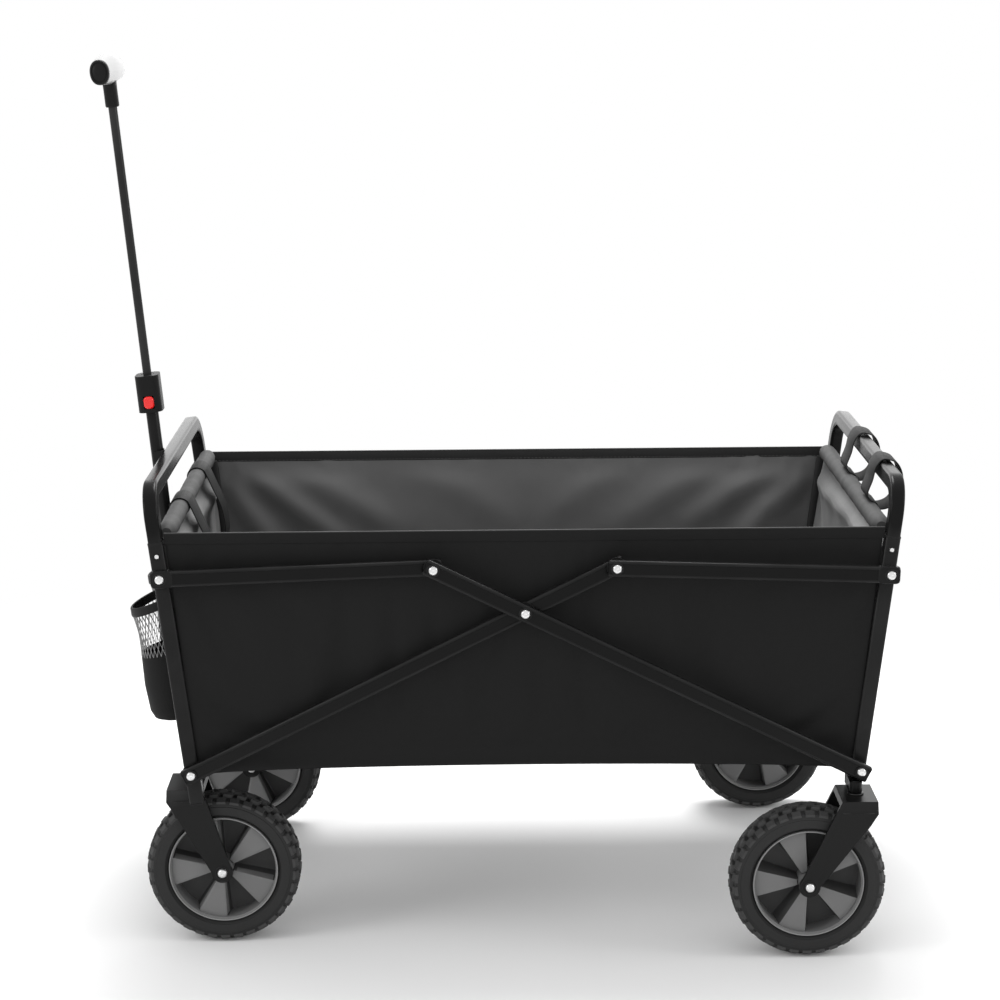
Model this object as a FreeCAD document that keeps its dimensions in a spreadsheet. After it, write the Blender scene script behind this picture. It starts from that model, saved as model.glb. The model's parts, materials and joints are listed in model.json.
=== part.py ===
import FreeCAD, Part
import math
import os
import Sketcher

# A folding wagon with a pull handle.  Two end frames stand on four wheels and are joined on each
# side by a folding scissor, and a fabric basket hangs between them.  +X is the rear, -X the handle
# end, +Z is up, the floor is Z = 0, and "near" is the -Y side.  Sizes are millimetres and degrees.

SIZES = [
    # scissor and end frames
    ("pin_span", 810, "between the lower pins of the two end frames"),
    ("wheel_radius", 95, "outside of the tyre"),
    ("fold_angle", 26.5, "rise of a diagonal when open"),
    ("knee_reach", 121.6, "centre pin to knee pin along a diagonal"),
    ("post_lean", 6.7, "outward lean of each end frame"),
    ("post_pin_height", 247, "upper pins above the lower pins, along the post"),
    ("post_face", 244.5, "centre plane to the outside of a post"),
    ("post_width", 18, "post, fore and aft"),
    ("post_depth", 20, "post, side to side"),
    ("post_wall", 1.5, "post and bow wall"),
    ("post_seam", 288, "top end of a post above the lower pin"),
    ("front_post_drop", 40, "front post below its lower pin"),
    ("rear_post_drop", 12, "rear post below its lower pin"),
    ("bow_width", 17, "bow tube, fore and aft"),
    ("bow_top", 358, "top of the bow above the lower pin"),
    ("bow_snub", 4.25, "flattened corner of the bow's section"),
    ("bow_corner", 36, "centre-line radius of the bow's corners"),
    ("bow_spigot", 30, "reduced end of the bow inside the post"),
    ("tube_fit", 0.2, "gap round a tube inside another"),
    ("bar_height", 20, "scissor bar height"),
    ("bar_thick", 9, "scissor bar thickness"),
    ("bar_wall", 1.5, "scissor bar wall"),
    ("washer_thick", 1.5, "plastic washer between two bars"),
    ("washer_radius", 12, "plastic washer outside"),
    ("rivet_radius", 3, "rivet shank"),
    ("rivet_head", 6.2, "rivet head radius"),
    ("rivet_dome", 3, "rivet head height"),
    ("rivet_fit", 0.06, "gap round a rivet shank"),
    ("side_gap", 0.3, "gap between faces that slide past each other"),
    ("spacer_radius", 7.5, "sleeve round a long rivet"),
    ("dome_flat", 0.6, "share of a domed head's radius that its top keeps"),
    ("cut_past", 1, "how far a hole's tool passes each face"),
    ("cross_radius", 9, "cross tube outside"),
    ("cross_height", 14, "cross tube above the lower pins"),
    # wheels, forks and casters
    ("tyre_width", 46, "tyre, side to side"),
    ("tyre_crown", 11.5, "half of the tread's flat middle"),
    ("tyre_round", 7.5, "tread edge down to the shoulder"),
    ("tyre_tuck", 4.5, "shoulder and bead inside the widest part"),
    ("tyre_wall", 15.5, "tread edge down to the widest part"),
    ("tyre_clear", 7.5, "tyre to the underside of the fork crown"),
    ("tyre_side_gap", 4, "tyre to a fork arm"),
    ("rim_radius", 67, "seat of the tyre on the rim"),
    ("rim_tuck", 5.75, "rim ring inside the tyre's side"),
    ("rim_gap", 0.25, "tyre seat to rim"),
    ("rim_lip", 5, "thickness of the rim's outer ring"),
    ("rim_web", 12, "thickness of the rim's web"),
    ("hub_radius", 13, "rim hub"),
    ("hub_gap", 0.5, "hub end to fork arm"),
    ("axle_radius", 5, "axle bolt shank"),
    ("axle_head", 7, "axle bolt head radius"),
    ("axle_dome", 4, "axle bolt head height"),
    ("axle_fit", 0.06, "gap round a bolt shank"),
    ("fork_wall", 4.5, "fork arm thickness"),
    ("fork_crown", 6, "fork crown thickness"),
    ("fork_boss", 13, "fork end round the axle"),
    ("fork_tuck", 9, "fork arm inside the crown's nose, half way down"),
    ("fork_round", 1, "bulge of the crown's nose"),
    ("fork_shoulder", 16, "depth of the crown's rounded end"),
    ("crown_drop", 28.5, "top of the crown below the lower pins"),
    ("crown_nose", 23, "crown, swivel axis to its outer end"),
    ("crown_tail", 20, "crown, swivel axis to its inner end"),
    ("front_axle_in", 30.4, "front axle inboard of the lower pin"),
    ("front_trail", 42, "front axle inboard of its crown's centre"),
    ("caster_in", 6, "swivel axis inboard of the lower pin"),
    ("caster_trail", 57, "rear axle inboard of the swivel axis"),
    ("nest_gap", 3, "gap between front and rear forks when folded"),
    ("stem_radius", 5, "swivel bolt"),
    ("stem_boss", 8, "boss round the swivel bolt"),
    ("nut_radius", 8.5, "nut under the crown"),
    ("nut_tall", 4, "nut height"),
    ("ring_lip", 2, "swivel washer past the boss"),
    ("swivel_washer", 1.4, "washer under the swivel boss"),
    # basket
    ("panel_offset", 10, "post centre to the outside of an end panel"),
    ("panel_thick", 5, "end panel thickness"),
    ("side_thick", 4, "side panel thickness"),
    ("cloth_gap", 0.5, "gap at the basket's corners"),
    ("cloth_clear", 3.5, "side panel inside the posts' outer face"),
    ("basket_top", 298, "basket rim above the lower pins"),
    ("basket_low", 6, "basket floor's underside below the lower pins"),
    ("sling_thick", 3, "floor sling thickness"),
    ("board_thick", 7, "floor pad thickness"),
    ("board_count", 4, "stiff leaves of the floor pad"),
    ("board_gap", 8, "fold line between two leaves"),
    ("sleeve_radius", 11, "rolled sleeve along the top of an end panel"),
    ("sleeve_rise", 7, "sleeve above the basket rim"),
    ("strap_width", 46, "webbing width"),
    ("strap_thick", 1.6, "webbing thickness"),
    ("strap_slack", 4, "rear strap loop round the bow"),
    ("strap_drop", 110, "length of a front strap below the sleeve"),
    ("front_strap_near", -70, "front strap nearer the near side"),
    ("front_strap_far", 112, "front strap nearer the far side"),
    ("rear_strap_near", -118, "rear strap nearer the near side"),
    ("rear_strap_far", 47, "rear strap nearer the far side"),
    ("cup_radius", 40, "cup pocket outside"),
    ("cup_foot", 36, "cup pocket outside, at its floor"),
    ("cup_wall", 2, "cup pocket wall"),
    ("cup_rise", 3, "cup pocket floor above the cross tube"),
    ("cup_tall", 172, "cup pocket height"),
    ("cup_spread", 80, "cup pocket off the centre plane"),
    # handle
    ("pivot_out", 29, "handle pivot outboard of the lower pins"),
    ("pivot_drop", 10, "handle pivot below the lower pins"),
    ("pivot_radius", 4, "handle pivot pin"),
    ("pivot_head", 6.5, "handle pivot pin head"),
    ("handle_lean", 5, "outward lean of the stowed handle"),
    ("handle_radius", 8, "lower handle tube outside"),
    ("handle_foot", 8, "lower handle tube below its pivot"),
    ("handle_plug", 30, "solid foot of the lower tube"),
    ("rod_radius", 5.5, "upper handle rod"),
    ("rod_low", 372, "lower end of the rod above the pivot"),
    ("slide_fit", 0.08, "gap round the sliding rod"),
    ("collar_low", 414, "collar above the pivot"),
    ("collar_tall", 47, "collar height"),
    ("collar_wide", 30, "collar, fore and aft"),
    ("collar_deep", 34, "collar, side to side"),
    ("collar_round", 9, "collar corner radius"),
    ("neck_low", 798, "neck of the grip above the pivot"),
    ("neck_radius", 8.5, "neck of the grip"),
    ("neck_seat", 28, "rod inside the neck"),
    ("grip_height", 844, "grip axis above the pivot"),
    ("grip_radius", 13, "grip at its ends"),
    ("grip_swell", 18, "grip at its middle"),
    ("grip_length", 140, "grip, side to side"),
    ("button_wide", 13, "release button, fore and aft"),
    ("button_tall", 16, "release button height"),
    ("button_thick", 5, "release button thickness"),
    ("button_proud", 2, "release button in front of the collar"),
    ("button_low", 5, "release button above the collar's lower end"),
    ("button_fit", 0.1, "gap round the release button"),
    ("pocket_floor", 1, "plastic between the button pocket and the handle tube"),
    ("spring_radius", 3, "button spring"),
    ("ear_thick", 4, "handle bracket ear"),
    ("ear_reach", 9, "handle bracket round the pivot"),
    ("ear_gap", 0.4, "handle tube to ear"),
    ("plate_thick", 3, "handle bracket plate"),
    ("clip_wall", 3, "handle clip wall"),
    ("clip_jaw", 6.8, "half of the clip's mouth"),
    ("clip_gap", 2, "clip to bow"),
    ("clip_tall", 16, "handle clip height"),
    ("clip_height", 346, "handle clip above the pivot"),
    ("clip_fit", 0.3, "gap round the handle in its clip"),
]

doc = FreeCAD.newDocument("wagon")
sheet = doc.addObject("Spreadsheet::Sheet", "Sizes")
for row, (alias, value, note) in enumerate(SIZES, start=1):
    sheet.set(f"A{row}", alias)
    sheet.set(f"B{row}", str(value))
    sheet.set(f"C{row}", note)
    sheet.setAlias(f"B{row}", alias)
doc.recompute()


class Size:
    """Gives a sheet cell's name for use in an expression: size.pin_span is "Sizes.pin_span"."""

    def __getattr__(self, alias):
        return f"Sizes.{alias}"


size = Size()
NEAR, FAR = -1, 1
TWICE_PAST = f"(2 * {size.cut_past})"
SIDES = ((NEAR, "near"), (FAR, "far"))

# The frame's own origin is under the middle of everything, handle included.
FRONT_REACH = f"({size.pivot_out} + {size.grip_height} * sin({size.handle_lean}) + {size.grip_swell})"
REAR_REACH = f"({size.bow_top} * sin({size.post_lean}) + {size.bow_width} / 2)"
MIDDLE = f"(({FRONT_REACH} - {REAR_REACH}) / 2)"
AXLE_DROP = f"({size.crown_drop} + {size.fork_crown} + {size.tyre_clear} + {size.wheel_radius})"
FORK_HALF = f"({size.tyre_width} / 2 + {size.tyre_side_gap} + {size.fork_wall})"
PIN_LEVEL = f"({size.wheel_radius} + {AXLE_DROP})"
FRONT_PIN = f"({MIDDLE} - {size.pin_span} / 2)"
REAR_PIN = f"({MIDDLE} + {size.pin_span} / 2)"

# Side to side: post, inner bar, washer, outer bar.
INNER_BAR = f"({size.post_face} + {size.washer_thick})"
OUTER_BAR = f"({INNER_BAR} + {size.bar_thick} + {size.washer_thick})"
POST_INSIDE = f"({size.post_face} - {size.post_depth})"
FRONT_TRACK = f"({POST_INSIDE} - {FORK_HALF})"
REAR_TRACK = f"({FRONT_TRACK} + 2 * {FORK_HALF} + {size.nest_gap})"
CLOTH_SIDE = f"({size.post_face} - {size.cloth_clear} - {size.side_thick})"

# Scissor geometry: a diagonal runs from its lower pin over the centre pin to its knee.
LOWER_ARM = f"({size.pin_span} / 2 / cos({size.fold_angle}))"
DIAGONAL = f"({LOWER_ARM} + {size.knee_reach})"
KNEE_OUT = f"({size.knee_reach} * cos({size.fold_angle}))"
KNEE_HEIGHT = f"({DIAGONAL} * sin({size.fold_angle}))"
TOP_OUT = f"({size.pin_span} / 2 + {size.post_pin_height} * sin({size.post_lean}))"
TOP_HEIGHT = f"({size.post_pin_height} * cos({size.post_lean}))"
LINK_RUN = f"({TOP_OUT} - {KNEE_OUT})"
LINK_DROP = f"({KNEE_HEIGHT} - {TOP_HEIGHT})"
LINK = f"sqrt(pow({LINK_RUN}; 2) + pow({LINK_DROP}; 2))"
LINK_TURN = f"(90 deg + atan({LINK_DROP} / {LINK_RUN}))"

# A pose is where a sub-part's own frame stands: x, y, z, the turn's axis along Y, and its angle.
PLAIN = (MIDDLE, "0", PIN_LEVEL, 1, "0")
FRONT_POST = (FRONT_PIN, "0", PIN_LEVEL, -1, size.post_lean)
REAR_POST = (REAR_PIN, "0", PIN_LEVEL, 1, size.post_lean)
DIAGONAL_B = (FRONT_PIN, "0", PIN_LEVEL, -1, size.fold_angle)
DIAGONAL_A = (REAR_PIN, "0", PIN_LEVEL, 1, size.fold_angle)
LINK_B = (f"{MIDDLE} + {KNEE_OUT}", "0", f"{PIN_LEVEL} + {KNEE_HEIGHT}", 1, LINK_TURN)
LINK_A = (f"{MIDDLE} - {KNEE_OUT}", "0", f"{PIN_LEVEL} + {KNEE_HEIGHT}", -1, LINK_TURN)
HANDLE = (f"{FRONT_PIN} - {size.pivot_out}", "0", f"{PIN_LEVEL} - {size.pivot_drop}", -1,
          size.handle_lean)

SUB_PARTS = []
used = {}


def fresh(name):
    """Gives each helper object a name of its own."""
    used[name] = used.get(name, 0) + 1
    return f"{name}_{used[name]}"


def bind(thing, base):
    """Ties an object's place to three expressions."""
    for letter, expression in zip("xyz", base):
        thing.setExpression(f"Placement.Base.{letter}", str(expression))


def centred(expression, side=NEAR):
    """Gives an expression its side's sign."""
    return f"({side}) * ({expression})"


def block(extent, corner):
    """A box from its lowest corner."""
    box = doc.addObject("Part::Box", fresh("block"))
    for edge, expression in zip(("Length", "Width", "Height"), extent):
        box.setExpression(edge, expression)
    bind(box, corner)
    return box


AXES = {
    "X": FreeCAD.Rotation(FreeCAD.Vector(0, 1, 0), 90),
    "Y": FreeCAD.Rotation(FreeCAD.Vector(1, 0, 0), -90),
    "Z": FreeCAD.Rotation(),
}


def rod(radius, length, start, along="Y"):
    """A round bar from its start point along an axis."""
    bar = doc.addObject("Part::Cylinder", fresh("rod"))
    bar.Placement = FreeCAD.Placement(FreeCAD.Vector(), AXES[along])
    bar.setExpression("Radius", radius)
    bar.setExpression("Height", length)
    bind(bar, start)
    return bar


def taper(low_radius, high_radius, length, start, along="Y"):
    """A round bar whose ends differ."""
    cone = doc.addObject("Part::Cone", fresh("taper"))
    cone.Placement = FreeCAD.Placement(FreeCAD.Vector(), AXES[along])
    cone.setExpression("Radius1", low_radius)
    cone.setExpression("Radius2", high_radius)
    cone.setExpression("Height", length)
    bind(cone, start)
    return cone


def joined(pieces):
    """One solid from pieces that meet."""
    result = doc.addObject("Part::MultiFuse", fresh("joined"))
    result.Shapes = pieces
    return result


def grouped(pieces):
    """Separate solids kept side by side."""
    result = doc.addObject("Part::Compound", fresh("grouped"))
    result.Links = pieces
    return result


def cut(base, tools):
    """A solid with holes or pockets."""
    result = doc.addObject("Part::Cut", fresh("cut"))
    result.Base = base
    result.Tool = tools[0] if len(tools) == 1 else grouped(tools)
    return result


def sub_part(label, thing, pose):
    """Names a finished sub-part and stands it in its pose."""
    x, y, z, axis, angle = pose
    thing.Label = label
    if angle != "0":
        turn = FreeCAD.Rotation(FreeCAD.Vector(0, axis, 0), 1)
        thing.Placement = FreeCAD.Placement(FreeCAD.Vector(), turn)
        thing.setExpression("Placement.Rotation.Angle", angle)
    bind(thing, (x, y, z))
    SUB_PARTS.append(thing)


def plane_of(body, role):
    """One of a body's own origin planes."""
    return next(f for f in body.Origin.OriginFeatures if f.Role == role)


def outline(body, role, corners, lift=None):
    """A closed polygon on an origin plane, each corner tied to two expressions."""
    sketch = body.newObject("Sketcher::SketchObject", fresh("outline"))
    sketch.AttachmentSupport = [(plane_of(body, role), "")]
    sketch.MapMode = "FlatFace"
    if lift is not None:
        sketch.setExpression("AttachmentOffset.Base.z", lift)
    count = len(corners)
    spots = [FreeCAD.Vector(*(value(text) for text in corner), 0) for corner in corners]
    for index in range(count):
        sketch.addGeometry(Part.LineSegment(spots[index], spots[(index + 1) % count]), False)
    for index in range(count):
        sketch.addConstraint(Sketcher.Constraint("Coincident", index, 2, (index + 1) % count, 1))
    for index, corner in enumerate(corners):
        for kind, text in zip(("DistanceX", "DistanceY"), corner):
            number = sketch.addConstraint(
                Sketcher.Constraint(kind, -1, 1, index, 1, value(text)))
            sketch.setExpression(f"Constraints[{number}]", str(text))
    return sketch


def value(text):
    """The number that an expression stands for now."""
    return float(sheet.evalExpression(str(text)))


def padded(corners, role, low, thickness):
    """A polygon made solid, from low to low + thickness along the plane's normal."""
    body = doc.addObject("PartDesign::Body", fresh("plate"))
    sketch = outline(body, role, corners, low)
    pad = body.newObject("PartDesign::Pad", fresh("pad"))
    pad.Profile = sketch
    pad.setExpression("Length", thickness)
    return body


def turned(corners):
    """A profile in the XY plane, turned about Y."""
    body = doc.addObject("PartDesign::Body", fresh("turned"))
    sketch = outline(body, "XY_Plane", corners)
    spin = body.newObject("PartDesign::Revolution", fresh("spin"))
    spin.Profile = sketch
    spin.ReferenceAxis = (sketch, ["V_Axis"])
    spin.Angle = 360
    return body


def domed(radius, height, start, side):
    """A low domed head that stands out to one side from its flat face."""
    crown = f"({radius} * {size.dome_flat})"
    if side == FAR:
        return taper(radius, crown, height, start)
    low = (start[0], f"{start[1]} - {height}", start[2])
    return taper(crown, radius, height, low)


# ---------------------------------------------------------------- end frames


def post(side, drop):
    """A square tube post with holes for its two pins."""
    low = f"-({drop})"
    tall = f"({size.post_seam} + {drop})"
    outer = size.post_face if side == FAR else f"-{size.post_face}"
    start = POST_INSIDE if side == FAR else outer
    tube = block((size.post_width, size.post_depth, tall), (f"-{size.post_width} / 2", start, low))
    bore = block(
        (f"{size.post_width} - 2 * {size.post_wall}", f"{size.post_depth} - 2 * {size.post_wall}",
         f"{tall} + {TWICE_PAST}"),
        (f"{size.post_wall} - {size.post_width} / 2", f"{start} + {size.post_wall}",
         f"{low} - {size.cut_past}"))
    hole = f"{size.rivet_radius} + {size.rivet_fit}"
    holes = [rod(hole, f"{size.post_depth} + {TWICE_PAST}", ("0", f"{start} - {size.cut_past}", height))
             for height in ("0", size.post_pin_height, BOW_RIVET)]
    return cut(tube, [bore] + holes)


BOW_RIVET = f"({size.post_seam} - {size.bow_spigot} / 2)"
BOW_MID = f"({size.post_face} - {size.post_depth} / 2)"


def bow():
    """An inverted U of oval tube with reduced ends that sit inside the posts."""
    body = doc.addObject("PartDesign::Body", fresh("bow"))
    spine = body.newObject("Sketcher::SketchObject", fresh("spine"))
    spine.AttachmentSupport = [(plane_of(body, "YZ_Plane"), "")]
    spine.MapMode = "FlatFace"
    half = value(BOW_MID)
    low = value(size.post_seam)
    top_text = f"{size.bow_top} - {size.post_depth} / 2"
    top = value(top_text)
    corner = value(size.bow_corner)
    vector = FreeCAD.Vector
    spine.addGeometry(Part.LineSegment(vector(-half, low, 0), vector(-half, top - corner, 0)), False)
    spine.addGeometry(
        Part.ArcOfCircle(Part.Circle(vector(corner - half, top - corner, 0), vector(0, 0, 1), corner),
                         math.pi / 2, math.pi), False)
    spine.addGeometry(Part.LineSegment(vector(corner - half, top, 0), vector(half - corner, top, 0)), False)
    spine.addGeometry(
        Part.ArcOfCircle(Part.Circle(vector(half - corner, top - corner, 0), vector(0, 0, 1), corner),
                         0, math.pi / 2), False)
    spine.addGeometry(Part.LineSegment(vector(half, top - corner, 0), vector(half, low, 0)), False)
    for ends in ((0, 2, 1, 2), (1, 1, 2, 1), (2, 2, 3, 2), (3, 1, 4, 1)):
        spine.addConstraint(Sketcher.Constraint("Tangent", *ends))
    spine.addConstraint(Sketcher.Constraint("Vertical", 0))
    spine.addConstraint(Sketcher.Constraint("Horizontal", 2))
    spine.addConstraint(Sketcher.Constraint("Vertical", 4))
    spine.addConstraint(Sketcher.Constraint("Equal", 1, 3))
    tied = (
        ("Radius", (1,), size.bow_corner),
        ("DistanceX", (-1, 1, 0, 1), f"-{BOW_MID}"),
        ("DistanceX", (-1, 1, 4, 2), BOW_MID),
        ("DistanceY", (-1, 1, 0, 1), size.post_seam),
        ("DistanceY", (-1, 1, 4, 2), size.post_seam),
        ("DistanceY", (-1, 1, 2, 1), top_text),
    )
    for kind, where, text in tied:
        number = spine.addConstraint(Sketcher.Constraint(kind, *where, value(text)))
        spine.setExpression(f"Constraints[{number}]", text)
    steps = (("PartDesign::AdditivePipe", "0"), ("PartDesign::SubtractivePipe", size.post_wall))
    for feature, inset in steps:
        profile = oval(body, inset)
        pipe = body.newObject(feature, fresh("pipe"))
        pipe.Profile = profile
        pipe.Spine = (spine, ["Edge1", "Edge2", "Edge3", "Edge4", "Edge5"])
        pipe.Transition = "Transformed"
    return body


def oval(body, inset):
    """The flattened oval section at the near end of a bow, inset for the bore."""
    wide = f"({size.bow_width} / 2 - {inset})"
    deep = f"({size.post_depth} / 2 - {inset})"
    snub = size.bow_snub
    middle = f"-{BOW_MID}"
    corners = (
        (f"{snub} - {wide}", f"{middle} - {deep}"), (f"{wide} - {snub}", f"{middle} - {deep}"),
        (wide, f"{middle} - {deep} + {snub}"), (wide, f"{middle} + {deep} - {snub}"),
        (f"{wide} - {snub}", f"{middle} + {deep}"), (f"{snub} - {wide}", f"{middle} + {deep}"),
        (f"-{wide}", f"{middle} + {deep} - {snub}"), (f"-{wide}", f"{middle} - {deep} + {snub}"),
    )
    return outline(body, "XY_Plane", corners, size.post_seam)


def spigot(side):
    """The reduced end of the bow inside a post, with the rivet's hole."""
    slim = f"({size.post_wall} + {size.tube_fit})"
    wide = f"({size.post_width} - 2 * {slim})"
    deep = f"({size.post_depth} - 2 * {slim})"
    middle = centred(BOW_MID, side)
    plug = block((wide, deep, size.bow_spigot),
                 (f"-{wide} / 2", f"{middle} - {deep} / 2", f"{size.post_seam} - {size.bow_spigot}"))
    hole = rod(f"{size.rivet_radius} + {size.rivet_fit}", f"{deep} + {TWICE_PAST}",
               ("0", f"{middle} - {deep} / 2 - {size.cut_past}", BOW_RIVET))
    return cut(plug, [hole])


def cross_tube():
    """The tube that joins the feet of two posts."""
    length = f"(2 * {POST_INSIDE})"
    outer = rod(size.cross_radius, length, ("0", f"-{POST_INSIDE}", size.cross_height))
    bore = rod(f"{size.cross_radius} - {size.post_wall}", f"{length} + {TWICE_PAST}",
               ("0", f"-{POST_INSIDE} - {size.cut_past}", size.cross_height))
    return cut(outer, [bore])


def rivet(side, x, z, inside, outside, dome=size.rivet_dome):
    """A rivet through a stack, from its inside end to its domed head."""
    if side == FAR:
        shank = rod(size.rivet_radius, f"{outside} - ({inside})", (x, inside, z))
        head = domed(size.rivet_head, dome, (x, outside, z), FAR)
    else:
        shank = rod(size.rivet_radius, f"{outside} - ({inside})", (x, f"-({outside})", z))
        head = domed(size.rivet_head, dome, (x, f"-({outside})", z), NEAR)
    return joined([shank, head])


def tubular_spacer(side, x, z, low, high):
    """A sleeve round a rivet between two faces."""
    start = low if side == FAR else f"-({high})"
    length = f"({high}) - ({low})"
    sleeve = rod(size.spacer_radius, length, (x, start, z))
    bore = rod(f"{size.rivet_radius} + {size.rivet_fit}", f"{length} + {TWICE_PAST}",
               (x, f"{start} - {size.cut_past}", z))
    return cut(sleeve, [bore])


BAR_HOLE = f"({size.rivet_radius} + {size.rivet_fit})"
INNER_FACE = f"({INNER_BAR} + {size.bar_thick})"
OUTER_FACE = f"({OUTER_BAR} + {size.bar_thick})"

for pose, end, drop in (
        (FRONT_POST, "front", size.front_post_drop), (REAR_POST, "rear", size.rear_post_drop)):
    for side, word in SIDES:
        sub_part(f"{end}_leg_{word}", post(side, drop), pose)
    sub_part(f"{end}_bow", joined([bow(), spigot(NEAR), spigot(FAR)]), pose)
    sub_part(f"{end}_cross_tube", cross_tube(), pose)

# The seam rivets are low enough for the inner links to swing past them.
SEAM_DOME = f"({size.washer_thick} - {size.side_gap})"
front_rivets = []
rear_rivets = []
for side, word in SIDES:
    front_rivets.append(rivet(side, "0", "0", POST_INSIDE, f"{INNER_FACE} + {size.side_gap}"))
    front_rivets.append(rivet(side, "0", BOW_RIVET, POST_INSIDE, size.post_face, SEAM_DOME))
    rear_rivets.append(rivet(side, "0", "0", POST_INSIDE, f"{OUTER_FACE} + {size.side_gap}"))
    rear_rivets.append(rivet(side, "0", BOW_RIVET, POST_INSIDE, size.post_face, SEAM_DOME))
    rear_rivets.append(tubular_spacer(side, "0", "0", size.post_face, f"{OUTER_BAR} - {size.side_gap}"))
sub_part("front_rivets", grouped(front_rivets), FRONT_POST)
sub_part("rear_rivets", grouped(rear_rivets), REAR_POST)

# ---------------------------------------------------------------- scissor


def bar(side, layer, length, along):
    """A rectangular tube with round-nosed ends and a hole at each pin.

    It lies along X from the origin pin, or along Z, and its pins stand on Y."""
    start = layer if side == FAR else f"-({layer} + {size.bar_thick})"
    half = f"{size.bar_height} / 2"
    forward = along[0] == "+"
    if along[1] == "X":
        box = block((length, size.bar_thick, size.bar_height),
                    ("0" if forward else f"-({length})", start, f"-{half}"))
        bore = block((f"{length} - {size.bar_height}", f"{size.bar_thick} - 2 * {size.bar_wall}",
                      f"{size.bar_height} - 2 * {size.bar_wall}"),
                     (f"{half}" if forward else f"{half} - ({length})",
                      f"{start} + {size.bar_wall}", f"{size.bar_wall} - {half}"))
        far_pin = (length if forward else f"-({length})", start, "0")
    else:
        box = block((size.bar_height, size.bar_thick, length), (f"-{half}", start, "0"))
        bore = block((f"{size.bar_height} - 2 * {size.bar_wall}", f"{size.bar_thick} - 2 * {size.bar_wall}",
                      f"{length} - {size.bar_height}"),
                     (f"{size.bar_wall} - {half}", f"{start} + {size.bar_wall}", half))
        far_pin = ("0", start, length)
    noses = [rod(half, size.bar_thick, ("0", start, "0")), rod(half, size.bar_thick, far_pin)]
    solid = joined([box] + noses)
    return solid, bore, start, far_pin


def drilled(side, layer, length, along, mid_pin=None):
    """A scissor bar with all its holes."""
    solid, bore, start, far_pin = bar(side, layer, length, along)
    deep = f"{size.bar_thick} + {TWICE_PAST}"
    low = f"{start} - {size.cut_past}"
    holes = [rod(BAR_HOLE, deep, ("0", low, "0")), rod(BAR_HOLE, deep, (far_pin[0], low, far_pin[2]))]
    if mid_pin:
        boss_radius = f"({size.bar_height} - {size.bar_wall}) / 2"
        boss = rod(boss_radius, size.bar_thick, (mid_pin, start, "0"))
        holes.append(rod(BAR_HOLE, deep, (mid_pin, low, "0")))
        return cut(joined([cut(solid, [bore]), boss]), holes)
    return cut(solid, [bore] + holes)


def washer(side, x, z, low, high):
    """The plastic washer between two faces, round a rivet."""
    start = low if side == FAR else f"-({high})"
    disc = rod(size.washer_radius, size.washer_thick, (x, start, z))
    hole = rod(BAR_HOLE, f"{size.washer_thick} + {TWICE_PAST}", (x, f"{start} - {size.cut_past}", z))
    return cut(disc, [hole])


BETWEEN_BARS = (INNER_FACE, OUTER_BAR)
AT_POST = (size.post_face, INNER_BAR)
for side, word in SIDES:
    sub_part(f"diagonal_b_{word}", drilled(side, INNER_BAR, DIAGONAL, "+X", LOWER_ARM), DIAGONAL_B)
    sub_part(f"diagonal_a_{word}", drilled(side, OUTER_BAR, DIAGONAL, "-X", f"-{LOWER_ARM}"), DIAGONAL_A)
    sub_part(f"link_a_{word}", drilled(side, INNER_BAR, LINK, "+Z"), LINK_A)
    sub_part(f"link_b_{word}", drilled(side, OUTER_BAR, LINK, "+Z"), LINK_B)

THROUGH = (INNER_BAR, f"{OUTER_FACE} + {size.side_gap}")
for label, spot, pose in (
        ("centre_rivets", LOWER_ARM, DIAGONAL_B), ("knee_rivets_b", DIAGONAL, DIAGONAL_B),
        ("knee_rivets_a", f"-{DIAGONAL}", DIAGONAL_A)):
    sub_part(label, grouped([rivet(side, spot, "0", *THROUGH) for side, _ in SIDES]), pose)
sub_part(
    "joint_washers_b",
    grouped([washer(side, spot, "0", *BETWEEN_BARS) for side, _ in SIDES for spot in (LOWER_ARM, DIAGONAL)]
            + [washer(side, "0", "0", *AT_POST) for side, _ in SIDES]), DIAGONAL_B)
sub_part(
    "joint_washers_a",
    grouped([washer(side, f"-{DIAGONAL}", "0", *BETWEEN_BARS) for side, _ in SIDES]), DIAGONAL_A)

# The upper links' far pins end in the washer's gap, clear of the posts.
END_PIN = f"({size.post_face} + {size.washer_thick} / 2)"
sub_part(
    "link_a_pins",
    grouped([rivet(side, "0", LINK, END_PIN, INNER_FACE) for side, _ in SIDES]), LINK_A)
sub_part(
    "link_b_pins",
    grouped([rivet(side, "0", LINK, END_PIN, OUTER_FACE) for side, _ in SIDES]
            + [tubular_spacer(side, "0", LINK, END_PIN, OUTER_BAR) for side, _ in SIDES]), LINK_B)

# ---------------------------------------------------------------- wheels and forks

FRONT_AXLE_X = f"({size.front_axle_in} - {size.pin_span} / 2)"
REAR_AXLE_X = f"({size.pin_span} / 2 - {size.caster_in} - {size.caster_trail})"
ARM_GAP = f"({FORK_HALF} - {size.fork_wall})"


def wheel_pose(x, track, side):
    """A wheel's own frame: its axle along Y through its centre."""
    return (f"{MIDDLE} + {x}", centred(track, side), size.wheel_radius, 1, "0")


def tyre():
    """A solid tyre with a crowned tread and rounded shoulders."""
    half = f"({size.tyre_width} / 2)"
    shoulder = f"({size.wheel_radius} - {size.tyre_round})"
    wall = f"({size.wheel_radius} - {size.tyre_wall})"
    seat = f"({size.rim_radius} + {size.rim_gap})"
    narrow = f"({half} - {size.tyre_tuck})"
    tread = size.tyre_crown
    corners = (
        (seat, f"-{narrow}"), (wall, f"-{half}"), (shoulder, f"-{narrow}"),
        (size.wheel_radius, f"-{tread}"),
        (size.wheel_radius, tread), (shoulder, narrow), (wall, half), (seat, narrow),
    )
    return turned(corners)


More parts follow.
